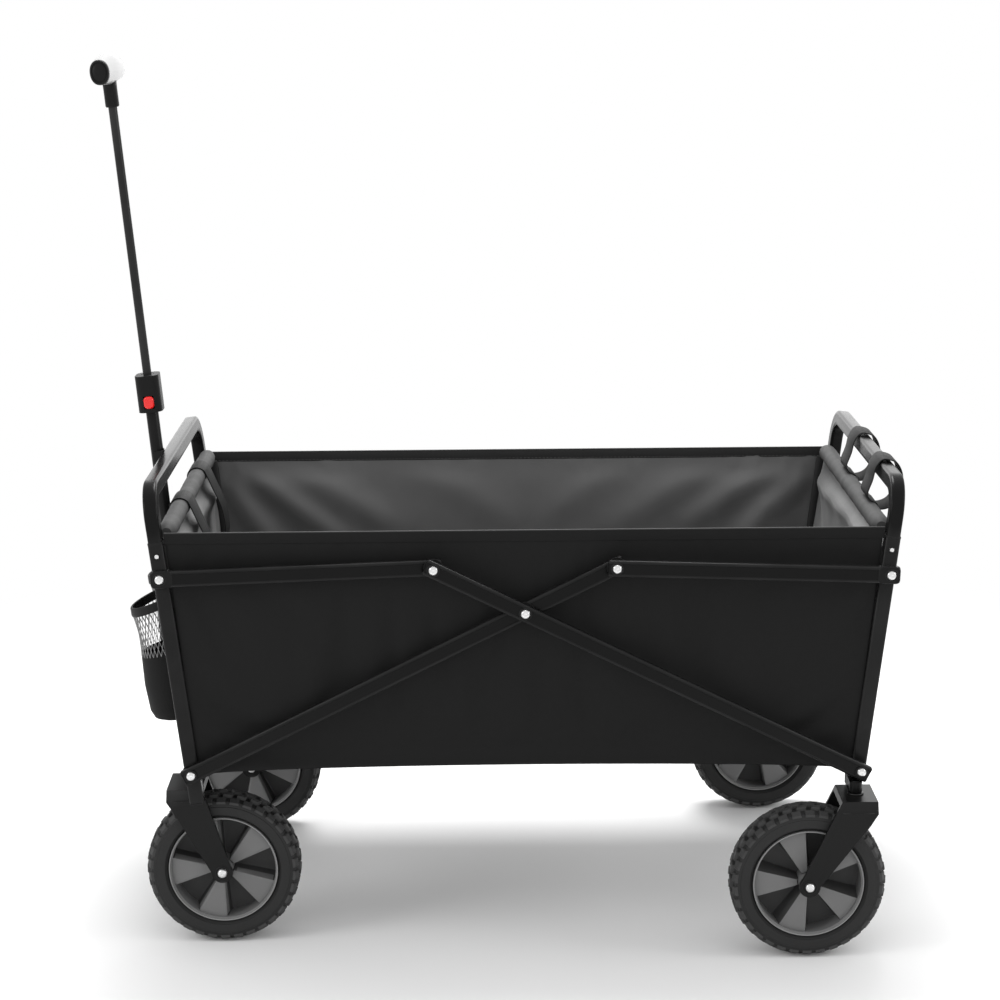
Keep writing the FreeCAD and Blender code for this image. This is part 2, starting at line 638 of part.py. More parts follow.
def rim():
    """A one-piece rim: outer ring, dished web and hub with a running bore."""
    bore = f"({size.axle_radius} + {size.axle_fit})"
    hub_half = f"({ARM_GAP} - {size.hub_gap})"
    ring_half = f"({size.tyre_width} / 2 - {size.rim_tuck})"
    inner = f"({size.rim_radius} - {size.rim_lip})"
    web = f"({size.rim_web} / 2)"
    corners = (
        (bore, f"-{hub_half}"), (size.hub_radius, f"-{hub_half}"), (size.hub_radius, f"-{web}"),
        (inner, f"-{web}"), (inner, f"-{ring_half}"), (size.rim_radius, f"-{ring_half}"),
        (size.rim_radius, ring_half), (inner, ring_half), (inner, web), (size.hub_radius, web),
        (size.hub_radius, hub_half), (bore, hub_half),
    )
    return turned(corners)


def fork(toward, trail):
    """A fork about its crown's centre: a crown and two arms that reach toward the axle."""
    drop = f"({AXLE_DROP} - {size.crown_drop})"
    reach = f"(({toward}) * {trail})"
    nose = f"(-({toward}) * {size.crown_nose})"
    tail = f"(({toward}) * {size.crown_tail})"
    boss = size.fork_boss
    low_shoulder = f"-2 * {size.fork_shoulder}"
    corners = (
        (nose, "0"), (tail, "0"),
        (f"{reach} + ({toward}) * {boss}", f"-{drop}"), (f"{reach} - ({toward}) * {boss}", f"-{drop}"),
        (f"{nose} + ({toward}) * {size.fork_tuck}", low_shoulder),
        (f"{nose} - ({toward}) * {size.fork_round}", f"-{size.fork_shoulder}"),
    )
    solid = joined([
        padded(corners, "XZ_Plane", f"-{FORK_HALF}", f"2 * {FORK_HALF}"),
        rod(boss, f"2 * {FORK_HALF}", (reach, f"-{FORK_HALF}", f"-{drop}")),
    ])
    long_way = f"(2 * ({size.crown_nose} + {size.crown_tail} + {trail} + {boss}))"
    slot = block((long_way, f"2 * {ARM_GAP}", f"{drop} + 2 * {boss}"),
                 (f"-{long_way} / 2", f"-{ARM_GAP}", f"-{drop} - 2 * {boss} - {size.fork_crown}"))
    axle_hole = rod(f"{size.axle_radius} + {size.axle_fit}", f"2 * {FORK_HALF} + {TWICE_PAST}",
                    (reach, f"-{FORK_HALF} - {size.cut_past}", f"-{drop}"))
    return solid, [slot, axle_hole]


def axle_bolt(x, z):
    """A bolt across the fork, a domed head at each end."""
    shank = rod(size.axle_radius, f"2 * {FORK_HALF}", (x, f"-{FORK_HALF}", z))
    heads = [domed(size.axle_head, size.axle_dome, (x, centred(FORK_HALF, side), z), side)
             for side in (NEAR, FAR)]
    return joined([shank] + heads)


def shifted(thing, offset):
    """Carries a piece sideways inside a group."""
    bind(thing, ("0", offset, "0"))
    return thing


FRONT_CROWN_X = f"({FRONT_AXLE_X} - {size.front_trail})"
STEM_X = f"({size.pin_span} / 2 - {size.caster_in})"
CROWN_LEVEL = f"({PIN_LEVEL} - {size.crown_drop})"

front_bolts = []
for side, word in SIDES:
    sub_part(f"front_tyre_{word}", tyre(), wheel_pose(FRONT_AXLE_X, FRONT_TRACK, side))
    sub_part(f"front_rim_{word}", rim(), wheel_pose(FRONT_AXLE_X, FRONT_TRACK, side))
    sub_part(f"rear_tyre_{word}", tyre(), wheel_pose(REAR_AXLE_X, REAR_TRACK, side))
    sub_part(f"rear_rim_{word}", rim(), wheel_pose(REAR_AXLE_X, REAR_TRACK, side))
    solid, holes = fork(1, size.front_trail)
    front_pose = (f"{MIDDLE} + {FRONT_CROWN_X}", centred(FRONT_TRACK, side), CROWN_LEVEL, 1, "0")
    sub_part(f"front_fork_{word}", cut(solid, holes), front_pose)
    front_bolts.append(shifted(axle_bolt(FRONT_AXLE_X, f"-{AXLE_DROP}"), centred(FRONT_TRACK, side)))

    solid, holes = fork(-1, size.caster_trail)
    swivel_hole = rod(f"{size.stem_radius} + {size.axle_fit}", f"{size.fork_crown} + {TWICE_PAST}",
                      ("0", "0", f"-{size.fork_crown} - {size.cut_past}"), "Z")
    caster_pose = (f"{MIDDLE} + {STEM_X}", centred(REAR_TRACK, side), CROWN_LEVEL, 1, "0")
    sub_part(f"caster_fork_{word}", cut(solid, holes + [swivel_hole]), caster_pose)
    drop = f"({AXLE_DROP} - {size.crown_drop})"
    axle = axle_bolt(f"-{size.caster_trail}", f"-{drop}")

    # The bracket under the rear post: an arm out to the swivel boss, and the bolt that hangs from it.
    boss_low = f"{size.swivel_washer} + {size.side_gap}"
    boss_top = f"({size.crown_drop} - {size.rear_post_drop} - {size.side_gap})"
    tall = f"({boss_top} - ({boss_low}))"
    arm_end = f"({REAR_TRACK} - {POST_INSIDE})"
    boss = rod(size.stem_boss, tall, ("0", "0", boss_low), "Z")
    arm = block((f"2 * {size.stem_boss}", arm_end, tall),
                (f"-{size.stem_boss}", "0" if side == NEAR else f"-{arm_end}", boss_low))
    seat = rod(f"{size.stem_radius} + {size.axle_fit}", f"{tall} + {TWICE_PAST}",
               ("0", "0", f"{boss_low} - {size.cut_past}"), "Z")
    sub_part(f"caster_bracket_{word}", cut(joined([boss, arm]), [seat]), caster_pose)
    bolt = rod(size.stem_radius, f"{size.fork_crown} + {boss_top} + {size.side_gap}",
               ("0", "0", f"-{size.fork_crown} - {size.side_gap}"), "Z")
    nut = rod(size.nut_radius, size.nut_tall,
              ("0", "0", f"-{size.fork_crown} - {size.side_gap} - {size.nut_tall}"), "Z")
    ring = rod(f"{size.stem_boss} + {size.ring_lip}", size.swivel_washer, ("0", "0", size.side_gap), "Z")
    sub_part(f"caster_bolts_{word}", grouped([joined([bolt, nut, ring]), axle]), caster_pose)
sub_part("front_axle_bolts", grouped(front_bolts), PLAIN)

# ---------------------------------------------------------------- basket

PANEL_HALF = f"({CLOTH_SIDE} - {size.cloth_gap})"
FLOOR_TOP = f"({size.sling_thick} + {size.board_thick} - {size.basket_low})"
PANEL_IN = f"({size.panel_offset} + {size.panel_thick} + {size.cloth_gap})"
RIM_LOCAL = f"({size.basket_top} / cos({size.post_lean}))"
SLEEVE_TOP = f"({RIM_LOCAL} + {size.sleeve_rise})"
SLEEVE_HALF = f"({size.post_face} - {size.post_depth} - {size.cloth_gap})"


def end_panel(inward):
    """An end panel with its rolled sleeve, in the frame of its leaning posts."""
    low = f"-({size.basket_low})"
    tall = f"({SLEEVE_TOP} - {size.sleeve_radius} + {size.basket_low})"
    start = size.panel_offset if inward > 0 else f"-({size.panel_offset} + {size.panel_thick})"
    sheet_block = block((size.panel_thick, f"2 * {PANEL_HALF}", tall), (start, f"-{PANEL_HALF}", low))
    roll_x = f"({inward}) * ({size.panel_offset} + {size.panel_thick} / 2)"
    roll = rod(size.sleeve_radius, f"2 * {SLEEVE_HALF}",
               (roll_x, f"-{SLEEVE_HALF}", f"{SLEEVE_TOP} - {size.sleeve_radius}"))
    return joined([sheet_block, roll])


def side_panel(side):
    """A side panel between the leaning end panels."""
    middle = f"{size.pin_span} / 2 - {PANEL_IN} / cos({size.post_lean})"
    foot = f"({middle} - {size.basket_low} * tan({size.post_lean}))"
    hang = f"({middle} + {size.basket_top} * tan({size.post_lean}))"
    corners = (
        (f"-{foot}", f"-{size.basket_low}"), (foot, f"-{size.basket_low}"),
        (hang, size.basket_top), (f"-{hang}", size.basket_top),
    )
    start = f"-({CLOTH_SIDE} + {size.side_thick})" if side == FAR else CLOTH_SIDE
    return padded(corners, "XZ_Plane", start, size.side_thick)


FLOOR_HALF = (f"({size.pin_span} / 2 - {PANEL_IN} / cos({size.post_lean})"
              f" - {size.basket_low} * tan({size.post_lean}) - {size.cloth_gap})")

sub_part("front_panel", end_panel(1), FRONT_POST)
sub_part("rear_panel", end_panel(-1), REAR_POST)
for side, word in SIDES:
    sub_part(f"side_panel_{word}", side_panel(side), PLAIN)
sub_part(
    "floor_sling",
    grouped([block((f"2 * {FLOOR_HALF}", f"2 * {PANEL_HALF}", size.sling_thick),
                   (f"-{FLOOR_HALF}", f"-{PANEL_HALF}", f"-{size.basket_low}"))]), PLAIN)
leaf = f"((2 * {FLOOR_HALF} - {size.board_gap} * ({size.board_count} - 1)) / {size.board_count})"
leaves = [
    block((leaf, f"2 * {PANEL_HALF} - 2 * {size.board_gap}", size.board_thick),
          (f"-{FLOOR_HALF} + {index} * ({leaf} + {size.board_gap})",
           f"{size.board_gap} - {PANEL_HALF}", f"{size.sling_thick} - {size.basket_low}"))
    for index in range(int(value(size.board_count)))
]
sub_part("floor_pad", grouped(leaves), PLAIN)


def front_strap(middle):
    """A webbing band that hangs from the sleeve down the inside of the front panel."""
    return block((size.strap_thick, size.strap_width, size.strap_drop),
                 (f"{PANEL_IN} + {size.sleeve_radius}", f"{middle} - {size.strap_width} / 2",
                  f"{SLEEVE_TOP} - {size.sleeve_radius} - {size.strap_drop}"))


def rear_strap(middle):
    """A slack webbing loop round the top of the rear bow."""
    slack = size.strap_slack
    wide = f"({size.bow_width} + 2 * {slack})"
    tall = f"({size.bow_top} - {SLEEVE_TOP} + {slack})"
    low = f"({SLEEVE_TOP} + {size.cloth_gap})"
    outer = block((f"{wide} + 2 * {size.strap_thick}", size.strap_width, tall),
                  (f"-{wide} / 2 - {size.strap_thick}", f"{middle} - {size.strap_width} / 2", low))
    hollow = block((wide, f"{size.strap_width} + {TWICE_PAST}", f"{tall} - 2 * {size.strap_thick}"),
                   (f"-{wide} / 2", f"{middle} - {size.strap_width} / 2 - {size.cut_past}",
                    f"{low} + {size.strap_thick}"))
    return cut(outer, [hollow])


for label, strap, places, pose in (
        ("front_straps", front_strap, (size.front_strap_near, size.front_strap_far), FRONT_POST),
        ("rear_straps", rear_strap, (size.rear_strap_near, size.rear_strap_far), REAR_POST)):
    sub_part(label, grouped([strap(place) for place in places]), pose)


def cup_pocket(side):
    """A round cup pocket that stands off the outside of the front panel."""
    x = f"({size.panel_offset} - {size.cup_radius} - {size.cloth_gap})"
    y = centred(size.cup_spread, side)
    low = f"({size.cross_height} + {size.cross_radius} + {size.cup_rise})"
    outer = taper(size.cup_foot, size.cup_radius, size.cup_tall, (x, y, low), "Z")
    inner = taper(f"{size.cup_foot} - {size.cup_wall}", f"{size.cup_radius} - {size.cup_wall}",
                  size.cup_tall, (x, y, f"{low} + {size.cup_wall}"), "Z")
    return cut(outer, [inner])


sub_part("cup_holders", grouped([cup_pocket(side) for side, _ in SIDES]), FRONT_POST)

# ---------------------------------------------------------------- handle

ROD_BORE = f"({size.rod_radius} + {size.slide_fit})"
COLLAR_TOP = f"({size.collar_low} + {size.collar_tall})"
lower = rod(size.handle_radius, f"{size.handle_foot} + {COLLAR_TOP}",
            ("0", "0", f"-{size.handle_foot}"), "Z")
lower_bore = rod(ROD_BORE, COLLAR_TOP, ("0", "0", size.handle_plug), "Z")
pivot_hole = rod(f"{size.pivot_radius} + {size.axle_fit}", f"2 * {size.handle_radius} + {TWICE_PAST}",
                 ("0", f"-{size.handle_radius} - {size.cut_past}", "0"))
sub_part("handle_lower_tube", cut(lower, [lower_bore, pivot_hole]), HANDLE)


def rounded_block(wide, deep, tall, radius, low):
    """An upright block with round vertical edges, centred on Z."""
    inner_x = f"({wide} / 2 - {radius})"
    inner_y = f"({deep} / 2 - {radius})"
    pieces = [
        block((f"2 * {inner_x}", deep, tall), (f"-{inner_x}", f"-{deep} / 2", low)),
        block((wide, f"2 * {inner_y}", tall), (f"-{wide} / 2", f"-{inner_y}", low)),
    ]
    pieces += [rod(radius, tall, (f"({a}) * {inner_x}", f"({b}) * {inner_y}", low), "Z")
               for a in (-1, 1) for b in (-1, 1)]
    return joined(pieces)


collar = rounded_block(
    size.collar_wide, size.collar_deep, size.collar_tall, size.collar_round, size.collar_low)
collar_hole = rod(size.handle_radius, f"{size.collar_tall} + {TWICE_PAST}",
                  ("0", "0", f"{size.collar_low} - {size.cut_past}"), "Z")
button_z = f"({size.collar_low} + {size.button_low})"
collar_face = f"({size.collar_deep} / 2)"
POCKET_DEEP = f"({collar_face} - {size.handle_radius} - {size.pocket_floor})"
pocket = block(
    (f"{size.button_wide} + 2 * {size.button_fit}", f"{POCKET_DEEP} + {size.cut_past}",
     f"{size.button_tall} + 2 * {size.button_fit}"),
    (f"-{size.button_wide} / 2 - {size.button_fit}", f"-{collar_face} - {size.cut_past}",
     f"{button_z} - {size.button_fit}"))
sub_part("handle_collar", cut(collar, [collar_hole, pocket]), HANDLE)
sub_part(
    "release_button",
    grouped([block((size.button_wide, size.button_thick, size.button_tall),
                   (f"-{size.button_wide} / 2", f"-{collar_face} - {size.button_proud}",
                    button_z))]), HANDLE)
spring_room = f"({POCKET_DEEP} + {size.button_proud} - {size.button_thick})"
sub_part(
    "button_spring",
    grouped([rod(size.spring_radius, spring_room,
                 ("0", f"-{collar_face} - {size.button_proud} + {size.button_thick}",
                  f"{button_z} + {size.button_tall} / 2"))]), HANDLE)

rod_top = f"({size.neck_low} + {size.neck_seat})"
sub_part(
    "handle_upper_rod",
    grouped([rod(size.rod_radius, f"{rod_top} - {size.rod_low}", ("0", "0", size.rod_low), "Z")]), HANDLE)
half_grip = f"({size.grip_length} / 2)"
grip = joined([
    taper(size.grip_radius, size.grip_swell, half_grip, ("0", f"-{half_grip}", size.grip_height)),
    taper(size.grip_swell, size.grip_radius, half_grip, ("0", "0", size.grip_height)),
    rod(size.neck_radius, f"{size.grip_height} - {size.neck_low}", ("0", "0", size.neck_low), "Z"),
])
grip_hole = rod(size.rod_radius, f"{size.neck_seat} + {size.cut_past}",
                ("0", "0", f"{size.neck_low} - {size.cut_past}"), "Z")
sub_part("handle_grip", cut(grip, [grip_hole]), HANDLE)

# The bracket hangs under the front cross tube; its ears hold the pivot pin.
ear_inside = f"({size.handle_radius} + {size.ear_gap})"
ear_outside = f"({ear_inside} + {size.ear_thick})"
plate_top = (f"({size.pivot_drop} + {size.cross_height} * cos({size.post_lean})"
             f" - {size.cross_radius} - {size.side_gap})")
plate_low = f"({plate_top} - {size.plate_thick})"
plate_start = f"({size.handle_radius} + {size.ear_thick})"
plate_end = f"({size.pivot_out} + {size.cross_radius})"
ears = []
for side in (NEAR, FAR):
    ear_low = ear_inside if side == FAR else f"-{ear_outside}"
    ears.append(rod(size.ear_reach, size.ear_thick, ("0", ear_low, "0")))
    ears.append(block((plate_end, size.ear_thick, f"{plate_top} + {size.ear_reach}"),
                      ("0", ear_low, f"-{size.ear_reach}")))
plate = block((f"{plate_end} - {plate_start}", f"2 * {ear_outside}", size.plate_thick),
              (plate_start, f"-{ear_outside}", plate_low))
ear_hole = rod(size.pivot_radius, f"2 * {ear_outside} + {TWICE_PAST}",
               ("0", f"-{ear_outside} - {size.cut_past}", "0"))
UPRIGHT_PIVOT = HANDLE[:3] + (1, "0")
sub_part("handle_bracket", cut(joined(ears + [plate]), [ear_hole]), UPRIGHT_PIVOT)
pin = rod(size.pivot_radius, f"2 * {ear_outside}", ("0", f"-{ear_outside}", "0"))
pin_heads = [domed(size.pivot_head, size.rivet_dome, ("0", centred(ear_outside, side), "0"), side)
             for side in (NEAR, FAR)]
sub_part("handle_pivot_pin", joined([pin] + pin_heads), UPRIGHT_PIVOT)

# The clip on the bow is open to the front, so that the handle pulls out of it.
clip_inside = f"({size.handle_radius} + {size.clip_fit})"
clip_out = f"({clip_inside} + {size.clip_wall})"
bow_run = (f"({size.pivot_out} - ({size.clip_height} + {size.clip_tall})"
           f" * (tan({size.post_lean}) - tan({size.handle_lean})))")
clip_back = f"({bow_run} - {size.bow_width} / 2 - {size.clip_gap})"
clip_body = block((f"{clip_back} + {size.handle_radius} / 2", f"2 * {clip_out}", size.clip_tall),
                  (f"-{size.handle_radius} / 2", f"-{clip_out}", size.clip_height))
clip_low = f"{size.clip_height} - {size.cut_past}"
clip_hole = rod(clip_inside, f"{size.clip_tall} + {TWICE_PAST}", ("0", "0", clip_low), "Z")
clip_mouth = block((clip_out, f"2 * {size.clip_jaw}", f"{size.clip_tall} + {TWICE_PAST}"),
                   (f"-{clip_out}", f"-{size.clip_jaw}", clip_low))
sub_part("handle_clip", cut(clip_body, [clip_hole, clip_mouth]), HANDLE)

# ---------------------------------------------------------------- check and write

doc.recompute()
bad = [thing.Name for thing in doc.Objects if {"Invalid", "Error"} & set(thing.State)]
if bad:
    raise RuntimeError(f"objects failed to build: {bad}")
os.makedirs("parts", exist_ok=True)
for thing in SUB_PARTS:
    shape = thing.Shape
    if shape.isNull() or not shape.isValid() or not shape.Solids:
        raise RuntimeError(f"{thing.Label} has no valid solid")
    shape.exportStep(os.path.join("parts", f"{thing.Label}.step"))
print(len(SUB_PARTS), "sub-parts written")
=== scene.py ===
import json
import math

import bmesh
import bpy
import numpy as np
from mathutils import Matrix, Vector, noise


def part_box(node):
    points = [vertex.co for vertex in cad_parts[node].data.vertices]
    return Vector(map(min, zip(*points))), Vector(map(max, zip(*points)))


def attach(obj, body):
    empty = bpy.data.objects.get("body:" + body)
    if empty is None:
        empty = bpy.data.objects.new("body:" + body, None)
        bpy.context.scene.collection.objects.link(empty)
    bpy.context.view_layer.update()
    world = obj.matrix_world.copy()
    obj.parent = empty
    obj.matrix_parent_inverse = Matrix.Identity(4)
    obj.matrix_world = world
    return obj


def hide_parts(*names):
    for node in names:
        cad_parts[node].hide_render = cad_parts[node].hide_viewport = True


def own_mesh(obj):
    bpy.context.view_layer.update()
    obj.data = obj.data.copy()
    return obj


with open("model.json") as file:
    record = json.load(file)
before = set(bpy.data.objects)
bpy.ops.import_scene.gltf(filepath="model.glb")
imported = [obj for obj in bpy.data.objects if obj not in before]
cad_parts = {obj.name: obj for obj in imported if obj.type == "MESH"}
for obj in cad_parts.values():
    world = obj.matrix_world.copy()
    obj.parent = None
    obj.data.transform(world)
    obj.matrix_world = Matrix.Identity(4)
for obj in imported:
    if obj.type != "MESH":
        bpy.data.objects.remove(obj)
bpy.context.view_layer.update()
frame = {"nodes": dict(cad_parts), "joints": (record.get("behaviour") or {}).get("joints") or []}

# A folding wagon.  +X is the rear, -X the handle end, "near" is the -Y side.  Sizes are metres.
MM = 0.001
SIDES = ((-1, "near"), (1, "far"))
X_AXIS, Y_AXIS, Z_AXIS = Vector((1, 0, 0)), Vector((0, 1, 0)), Vector((0, 0, 1))

# ---------------------------------------------------------------- places, read from the frame

JOINTS = {joint["name"]: joint for joint in frame["joints"]}


def spot(joint):
    """Where a joint's axis is."""
    return Vector(JOINTS[joint]["pos_m"])


def turned(origin, angle):
    """A place whose Z axis leans toward +X by an angle."""
    return Matrix.Translation(origin) @ Matrix.Rotation(angle, 4, "Y")


def points_of(node, place=Matrix.Identity(4)):
    """A CAD node's points in a place's own frame."""
    back = np.array(place.inverted())
    points = np.array([v.co for v in frame["nodes"][node].data.vertices], float)
    return points @ back[:3, :3].T + back[:3, 3]


def box_in(node, place=Matrix.Identity(4)):
    """A CAD node's lowest and highest corners in a place's own frame."""
    points = points_of(node, place)
    return Vector(points.min(0)), Vector(points.max(0))


def rise_of(node):
    """The direction that a long node runs in, upward."""
    points = points_of(node)
    run = np.linalg.svd(points - points.mean(0), full_matrices=False)[2][0]
    return Vector(run if run[2] > 0 else -run)


def angle_up(start, end):
    """How far a line rises above +X."""
    return math.atan2(end.z - start.z, end.x - start.x)


FRONT_PIN, REAR_PIN, CENTRE_PIN = spot("fold"), spot("rear_foot"), spot("scissor")
KNEE_A, KNEE_B, PIVOT = spot("link_a_knee"), spot("link_b_knee"), spot("handle_pivot")
LEAN = math.atan2(rise_of("rear_leg_near").x, rise_of("rear_leg_near").z)
SLIDE = Vector(JOINTS["handle_telescope"]["axis"])
FRONT = turned(FRONT_PIN, -LEAN)
REAR = turned(REAR_PIN, LEAN)
HANDLE = turned(PIVOT, math.atan2(-SLIDE.x, -SLIDE.z))
UPRIGHT = Matrix.Identity(4)


def along(start, end):
    """A place at start whose X axis runs to end, in the XZ plane."""
    return turned(start, -angle_up(start, end))


PIN_RISE = (box_in("link_a_pins", FRONT)[0].z + box_in("link_a_pins", FRONT)[1].z) / 2
UPPER_A = FRONT @ Vector((0, 0, PIN_RISE))
UPPER_B = REAR @ Vector((0, 0, PIN_RISE))
BARS = {
    "diagonal_b": (along(FRONT_PIN, CENTRE_PIN), "diagonals_b"),
    "diagonal_a": (along(REAR_PIN, CENTRE_PIN), "diagonals_a"),
    "link_a": (along(KNEE_A, UPPER_A), "links_a"),
    "link_b": (along(KNEE_B, UPPER_B), "links_b"),
}

# ---------------------------------------------------------------- shader groups


def group(name, inputs, outputs):
    """An empty shader node group with named sockets."""
    tree = bpy.data.node_groups.new(name, "ShaderNodeTree")
    for socket, kind, value in inputs:
        made = tree.interface.new_socket(socket, in_out="INPUT", socket_type=kind)
        if value is not None:
            made.default_value = value
    for socket, kind in outputs:
        tree.interface.new_socket(socket, in_out="OUTPUT", socket_type=kind)
    return tree, tree.nodes.new("NodeGroupInput"), tree.nodes.new("NodeGroupOutput")


def math_node(tree, operation, first, second=None):
    """A Math node fed by sockets or numbers."""
    node = tree.nodes.new("ShaderNodeMath")
    node.operation = operation
    for index, value in enumerate((first, second)):
        if value is None:
            continue
        if isinstance(value, (int, float)):
            node.inputs[index].default_value = value
        else:
            tree.links.new(value, node.inputs[index])
    return node.outputs[0]


def noise_node(tree, vector, scale, detail=3.0, rough=0.55):
    """A noise texture's value at a fixed or linked scale."""
    node = tree.nodes.new("ShaderNodeTexNoise")
    node.inputs["Detail"].default_value = detail
    node.inputs["Roughness"].default_value = rough
    tree.links.new(vector, node.inputs["Vector"])
    if isinstance(scale, (int, float)):
        node.inputs["Scale"].default_value = scale
    else:
        tree.links.new(scale, node.inputs["Scale"])
    return node.outputs["Fac"]


def spread(tree, value, low, high):
    """Carries a 0 to 1 value onto low to high."""
    node = tree.nodes.new("ShaderNodeMapRange")
    for socket, source in (("Value", value), ("To Min", low), ("To Max", high)):
        if isinstance(source, (int, float)):
            node.inputs[socket].default_value = source
        else:
            tree.links.new(source, node.inputs[socket])
    return node.outputs["Result"]


def mix_colour(tree, share, first, second):
    """Mixes two colours."""
    node = tree.nodes.new("ShaderNodeMix")
    node.data_type = "RGBA"
    tree.links.new(share, node.inputs["Factor"])
    for index, source in ((6, first), (7, second)):
        if isinstance(source, tuple):
            node.inputs[index].default_value = source
        else:
            tree.links.new(source, node.inputs[index])
    return node.outputs[2]


FLOAT, COLOUR, VECTOR = "NodeSocketFloat", "NodeSocketColor", "NodeSocketVector"


def coat_group():
    """Powder coat or moulded skin: grain, faint dust and worn edges."""
    tree, into, out = group(
        "surface coat",
        (("Vector", VECTOR, None), ("Edge", FLOAT, 0.5), ("Colour", COLOUR, None), ("Worn", COLOUR, None),
         ("Grain", FLOAT, 900.0), ("Wear", FLOAT, 0.4), ("Rough Low", FLOAT, 0.3),
         ("Rough High", FLOAT, 0.45)),
        (("Colour", COLOUR), ("Roughness", FLOAT), ("Height", FLOAT)))
    vector = into.outputs["Vector"]
    fine = noise_node(tree, vector, into.outputs["Grain"], 2.0)
    broad = noise_node(tree, vector, 14.0, 4.0)
    raised = spread(tree, into.outputs["Edge"], -13.5, 11.5)
    worn = math_node(tree, "MULTIPLY", math_node(tree, "MULTIPLY", raised, broad), into.outputs["Wear"])
    share = math_node(tree, "MINIMUM", math_node(tree, "MAXIMUM", worn, 0.0), 0.7)
    tree.links.new(mix_colour(tree, share, into.outputs["Colour"], into.outputs["Worn"]),
                   out.inputs["Colour"])
    rough = spread(tree, broad, into.outputs["Rough Low"], into.outputs["Rough High"])
    tree.links.new(rough, out.inputs["Roughness"])
    tree.links.new(fine, out.inputs["Height"])
    return tree


def weave_group():
    """Crossed threads on a piece's own UV map, in metres."""
    tree, into, out = group(
        "thread weave",
        (("Vector", VECTOR, None), ("Object", VECTOR, None), ("Threads", FLOAT, 900.0),
         ("Shade", COLOUR, None),
         ("Light", COLOUR, None), ("Rough Low", FLOAT, 0.5), ("Rough High", FLOAT, 0.7)),
        (("Colour", COLOUR), ("Roughness", FLOAT), ("Height", FLOAT)))
    split = tree.nodes.new("ShaderNodeSeparateXYZ")
    tree.links.new(into.outputs["Vector"], split.inputs[0])
    waves = []
    for socket in ("X", "Y"):
        turns = math_node(tree, "MULTIPLY", split.outputs[socket], into.outputs["Threads"])
        waves.append(math_node(tree, "ABSOLUTE", math_node(tree, "SINE", turns)))
    height = math_node(tree, "MAXIMUM", waves[0], waves[1])
    cloud = noise_node(tree, into.outputs["Object"], 9.0, 5.0, 0.6)
    share = math_node(tree, "MULTIPLY", math_node(tree, "ADD", height, cloud), 0.5)
    tree.links.new(mix_colour(tree, share, into.outputs["Shade"], into.outputs["Light"]),
                   out.inputs["Colour"])
    rough = spread(tree, cloud, into.outputs["Rough Low"], into.outputs["Rough High"])
    tree.links.new(rough, out.inputs["Roughness"])
    tree.links.new(height, out.inputs["Height"])
    return tree


COAT, WEAVE = coat_group(), weave_group()


def grey(level):
    """A neutral colour."""
    return (level, level, level, 1.0)


def shader(name, tree_group, values, bump, distance, uv=False, **constants):
    """A material: one group's colour, roughness and height into a Principled shader."""
    made = bpy.data.materials.new(name)
    made.use_nodes = True
    tree = made.node_tree
    bsdf = tree.nodes["Principled BSDF"]
    node = tree.nodes.new("ShaderNodeGroup")
    node.node_tree = tree_group
    place = tree.nodes.new("ShaderNodeTexCoord")
    tree.links.new(place.outputs["UV" if uv else "Object"], node.inputs["Vector"])
    if "Object" in node.inputs:
        tree.links.new(place.outputs["Object"], node.inputs["Object"])
    if "Edge" in node.inputs:
        shape = tree.nodes.new("ShaderNodeNewGeometry")
        tree.links.new(shape.outputs["Pointiness"], node.inputs["Edge"])
    for socket, value in values.items():
        node.inputs[socket].default_value = value
    relief = tree.nodes.new("ShaderNodeBump")
    relief.inputs["Strength"].default_value = bump
    relief.inputs["Distance"].default_value = distance
    tree.links.new(node.outputs["Height"], relief.inputs["Height"])
    tree.links.new(relief.outputs["Normal"], bsdf.inputs["Normal"])
    tree.links.new(node.outputs["Colour"], bsdf.inputs["Base Color"])
    tree.links.new(node.outputs["Roughness"], bsdf.inputs["Roughness"])
    for socket, value in constants.items():
        bsdf.inputs[socket.replace("_", " ")].default_value = value
    return made


def coated(name, level, worn, grain, wear, rough, bump=0.15, **constants):
    """A coated or moulded material."""
    values = {"Colour": grey(level), "Worn": grey(worn), "Grain": grain, "Wear": wear,
              "Rough Low": rough[0], "Rough High": rough[1]}
    return shader(name, COAT, values, bump, 0.2 * MM, **constants)


def woven(name, shade, light, threads, rough, bump=0.35, **constants):
    """A woven material on a piece's own UV map."""
    values = {"Shade": grey(shade), "Light": grey(light), "Threads": threads,
              "Rough Low": rough[0], "Rough High": rough[1]}
    return shader(name, WEAVE, values, bump, 0.25 * MM, uv=True, **constants)


FRAME_BLACK = coated("frame_black", 0.004, 0.06, 900.0, 0.4, (0.20, 0.30), Specular_IOR_Level=0.12)
FORK_BLACK = coated("fork_black", 0.006, 0.08, 700.0, 0.4, (0.26, 0.36), Specular_IOR_Level=0.16)
ROD_BLACK = coated("rod_black", 0.006, 0.10, 300.0, 0.2, (0.20, 0.28), 0.05, Specular_IOR_Level=0.14)
PLASTIC = coated("moulded_black", 0.007, 0.05, 1300.0, 0.3, (0.38, 0.50), 0.25, Specular_IOR_Level=0.14)
GRIP_SKIN = coated("grip_skin", 0.25, 0.34, 1500.0, 0.2, (0.26, 0.36), 0.1)
RIM_GREY = coated("rim_grey", 0.15, 0.22, 1100.0, 0.3, (0.42, 0.52), 0.2, Specular_IOR_Level=0.3)
# Rim grey darkened for the recessed web panels: painted shade in the recesses.
RIM_PAINTED_SHADE = coated("rim_recess_painted_shade", 0.055, 0.09, 1100.0, 0.3, (0.45, 0.60), 0.2, Specular_IOR_Level=0.2)
# Rim grey lightened for the lip: a painted highlight along the rim's edge.
RIM_LIP_PAINTED_HIGHLIGHT = coated("rim_lip", 0.20, 0.34, 900.0, 0.3, (0.30, 0.40), 0.1)
RUBBER = coated("tyre_rubber", 0.016, 0.05, 800.0, 0.6, (0.58, 0.75), 0.4, Specular_IOR_Level=0.3)
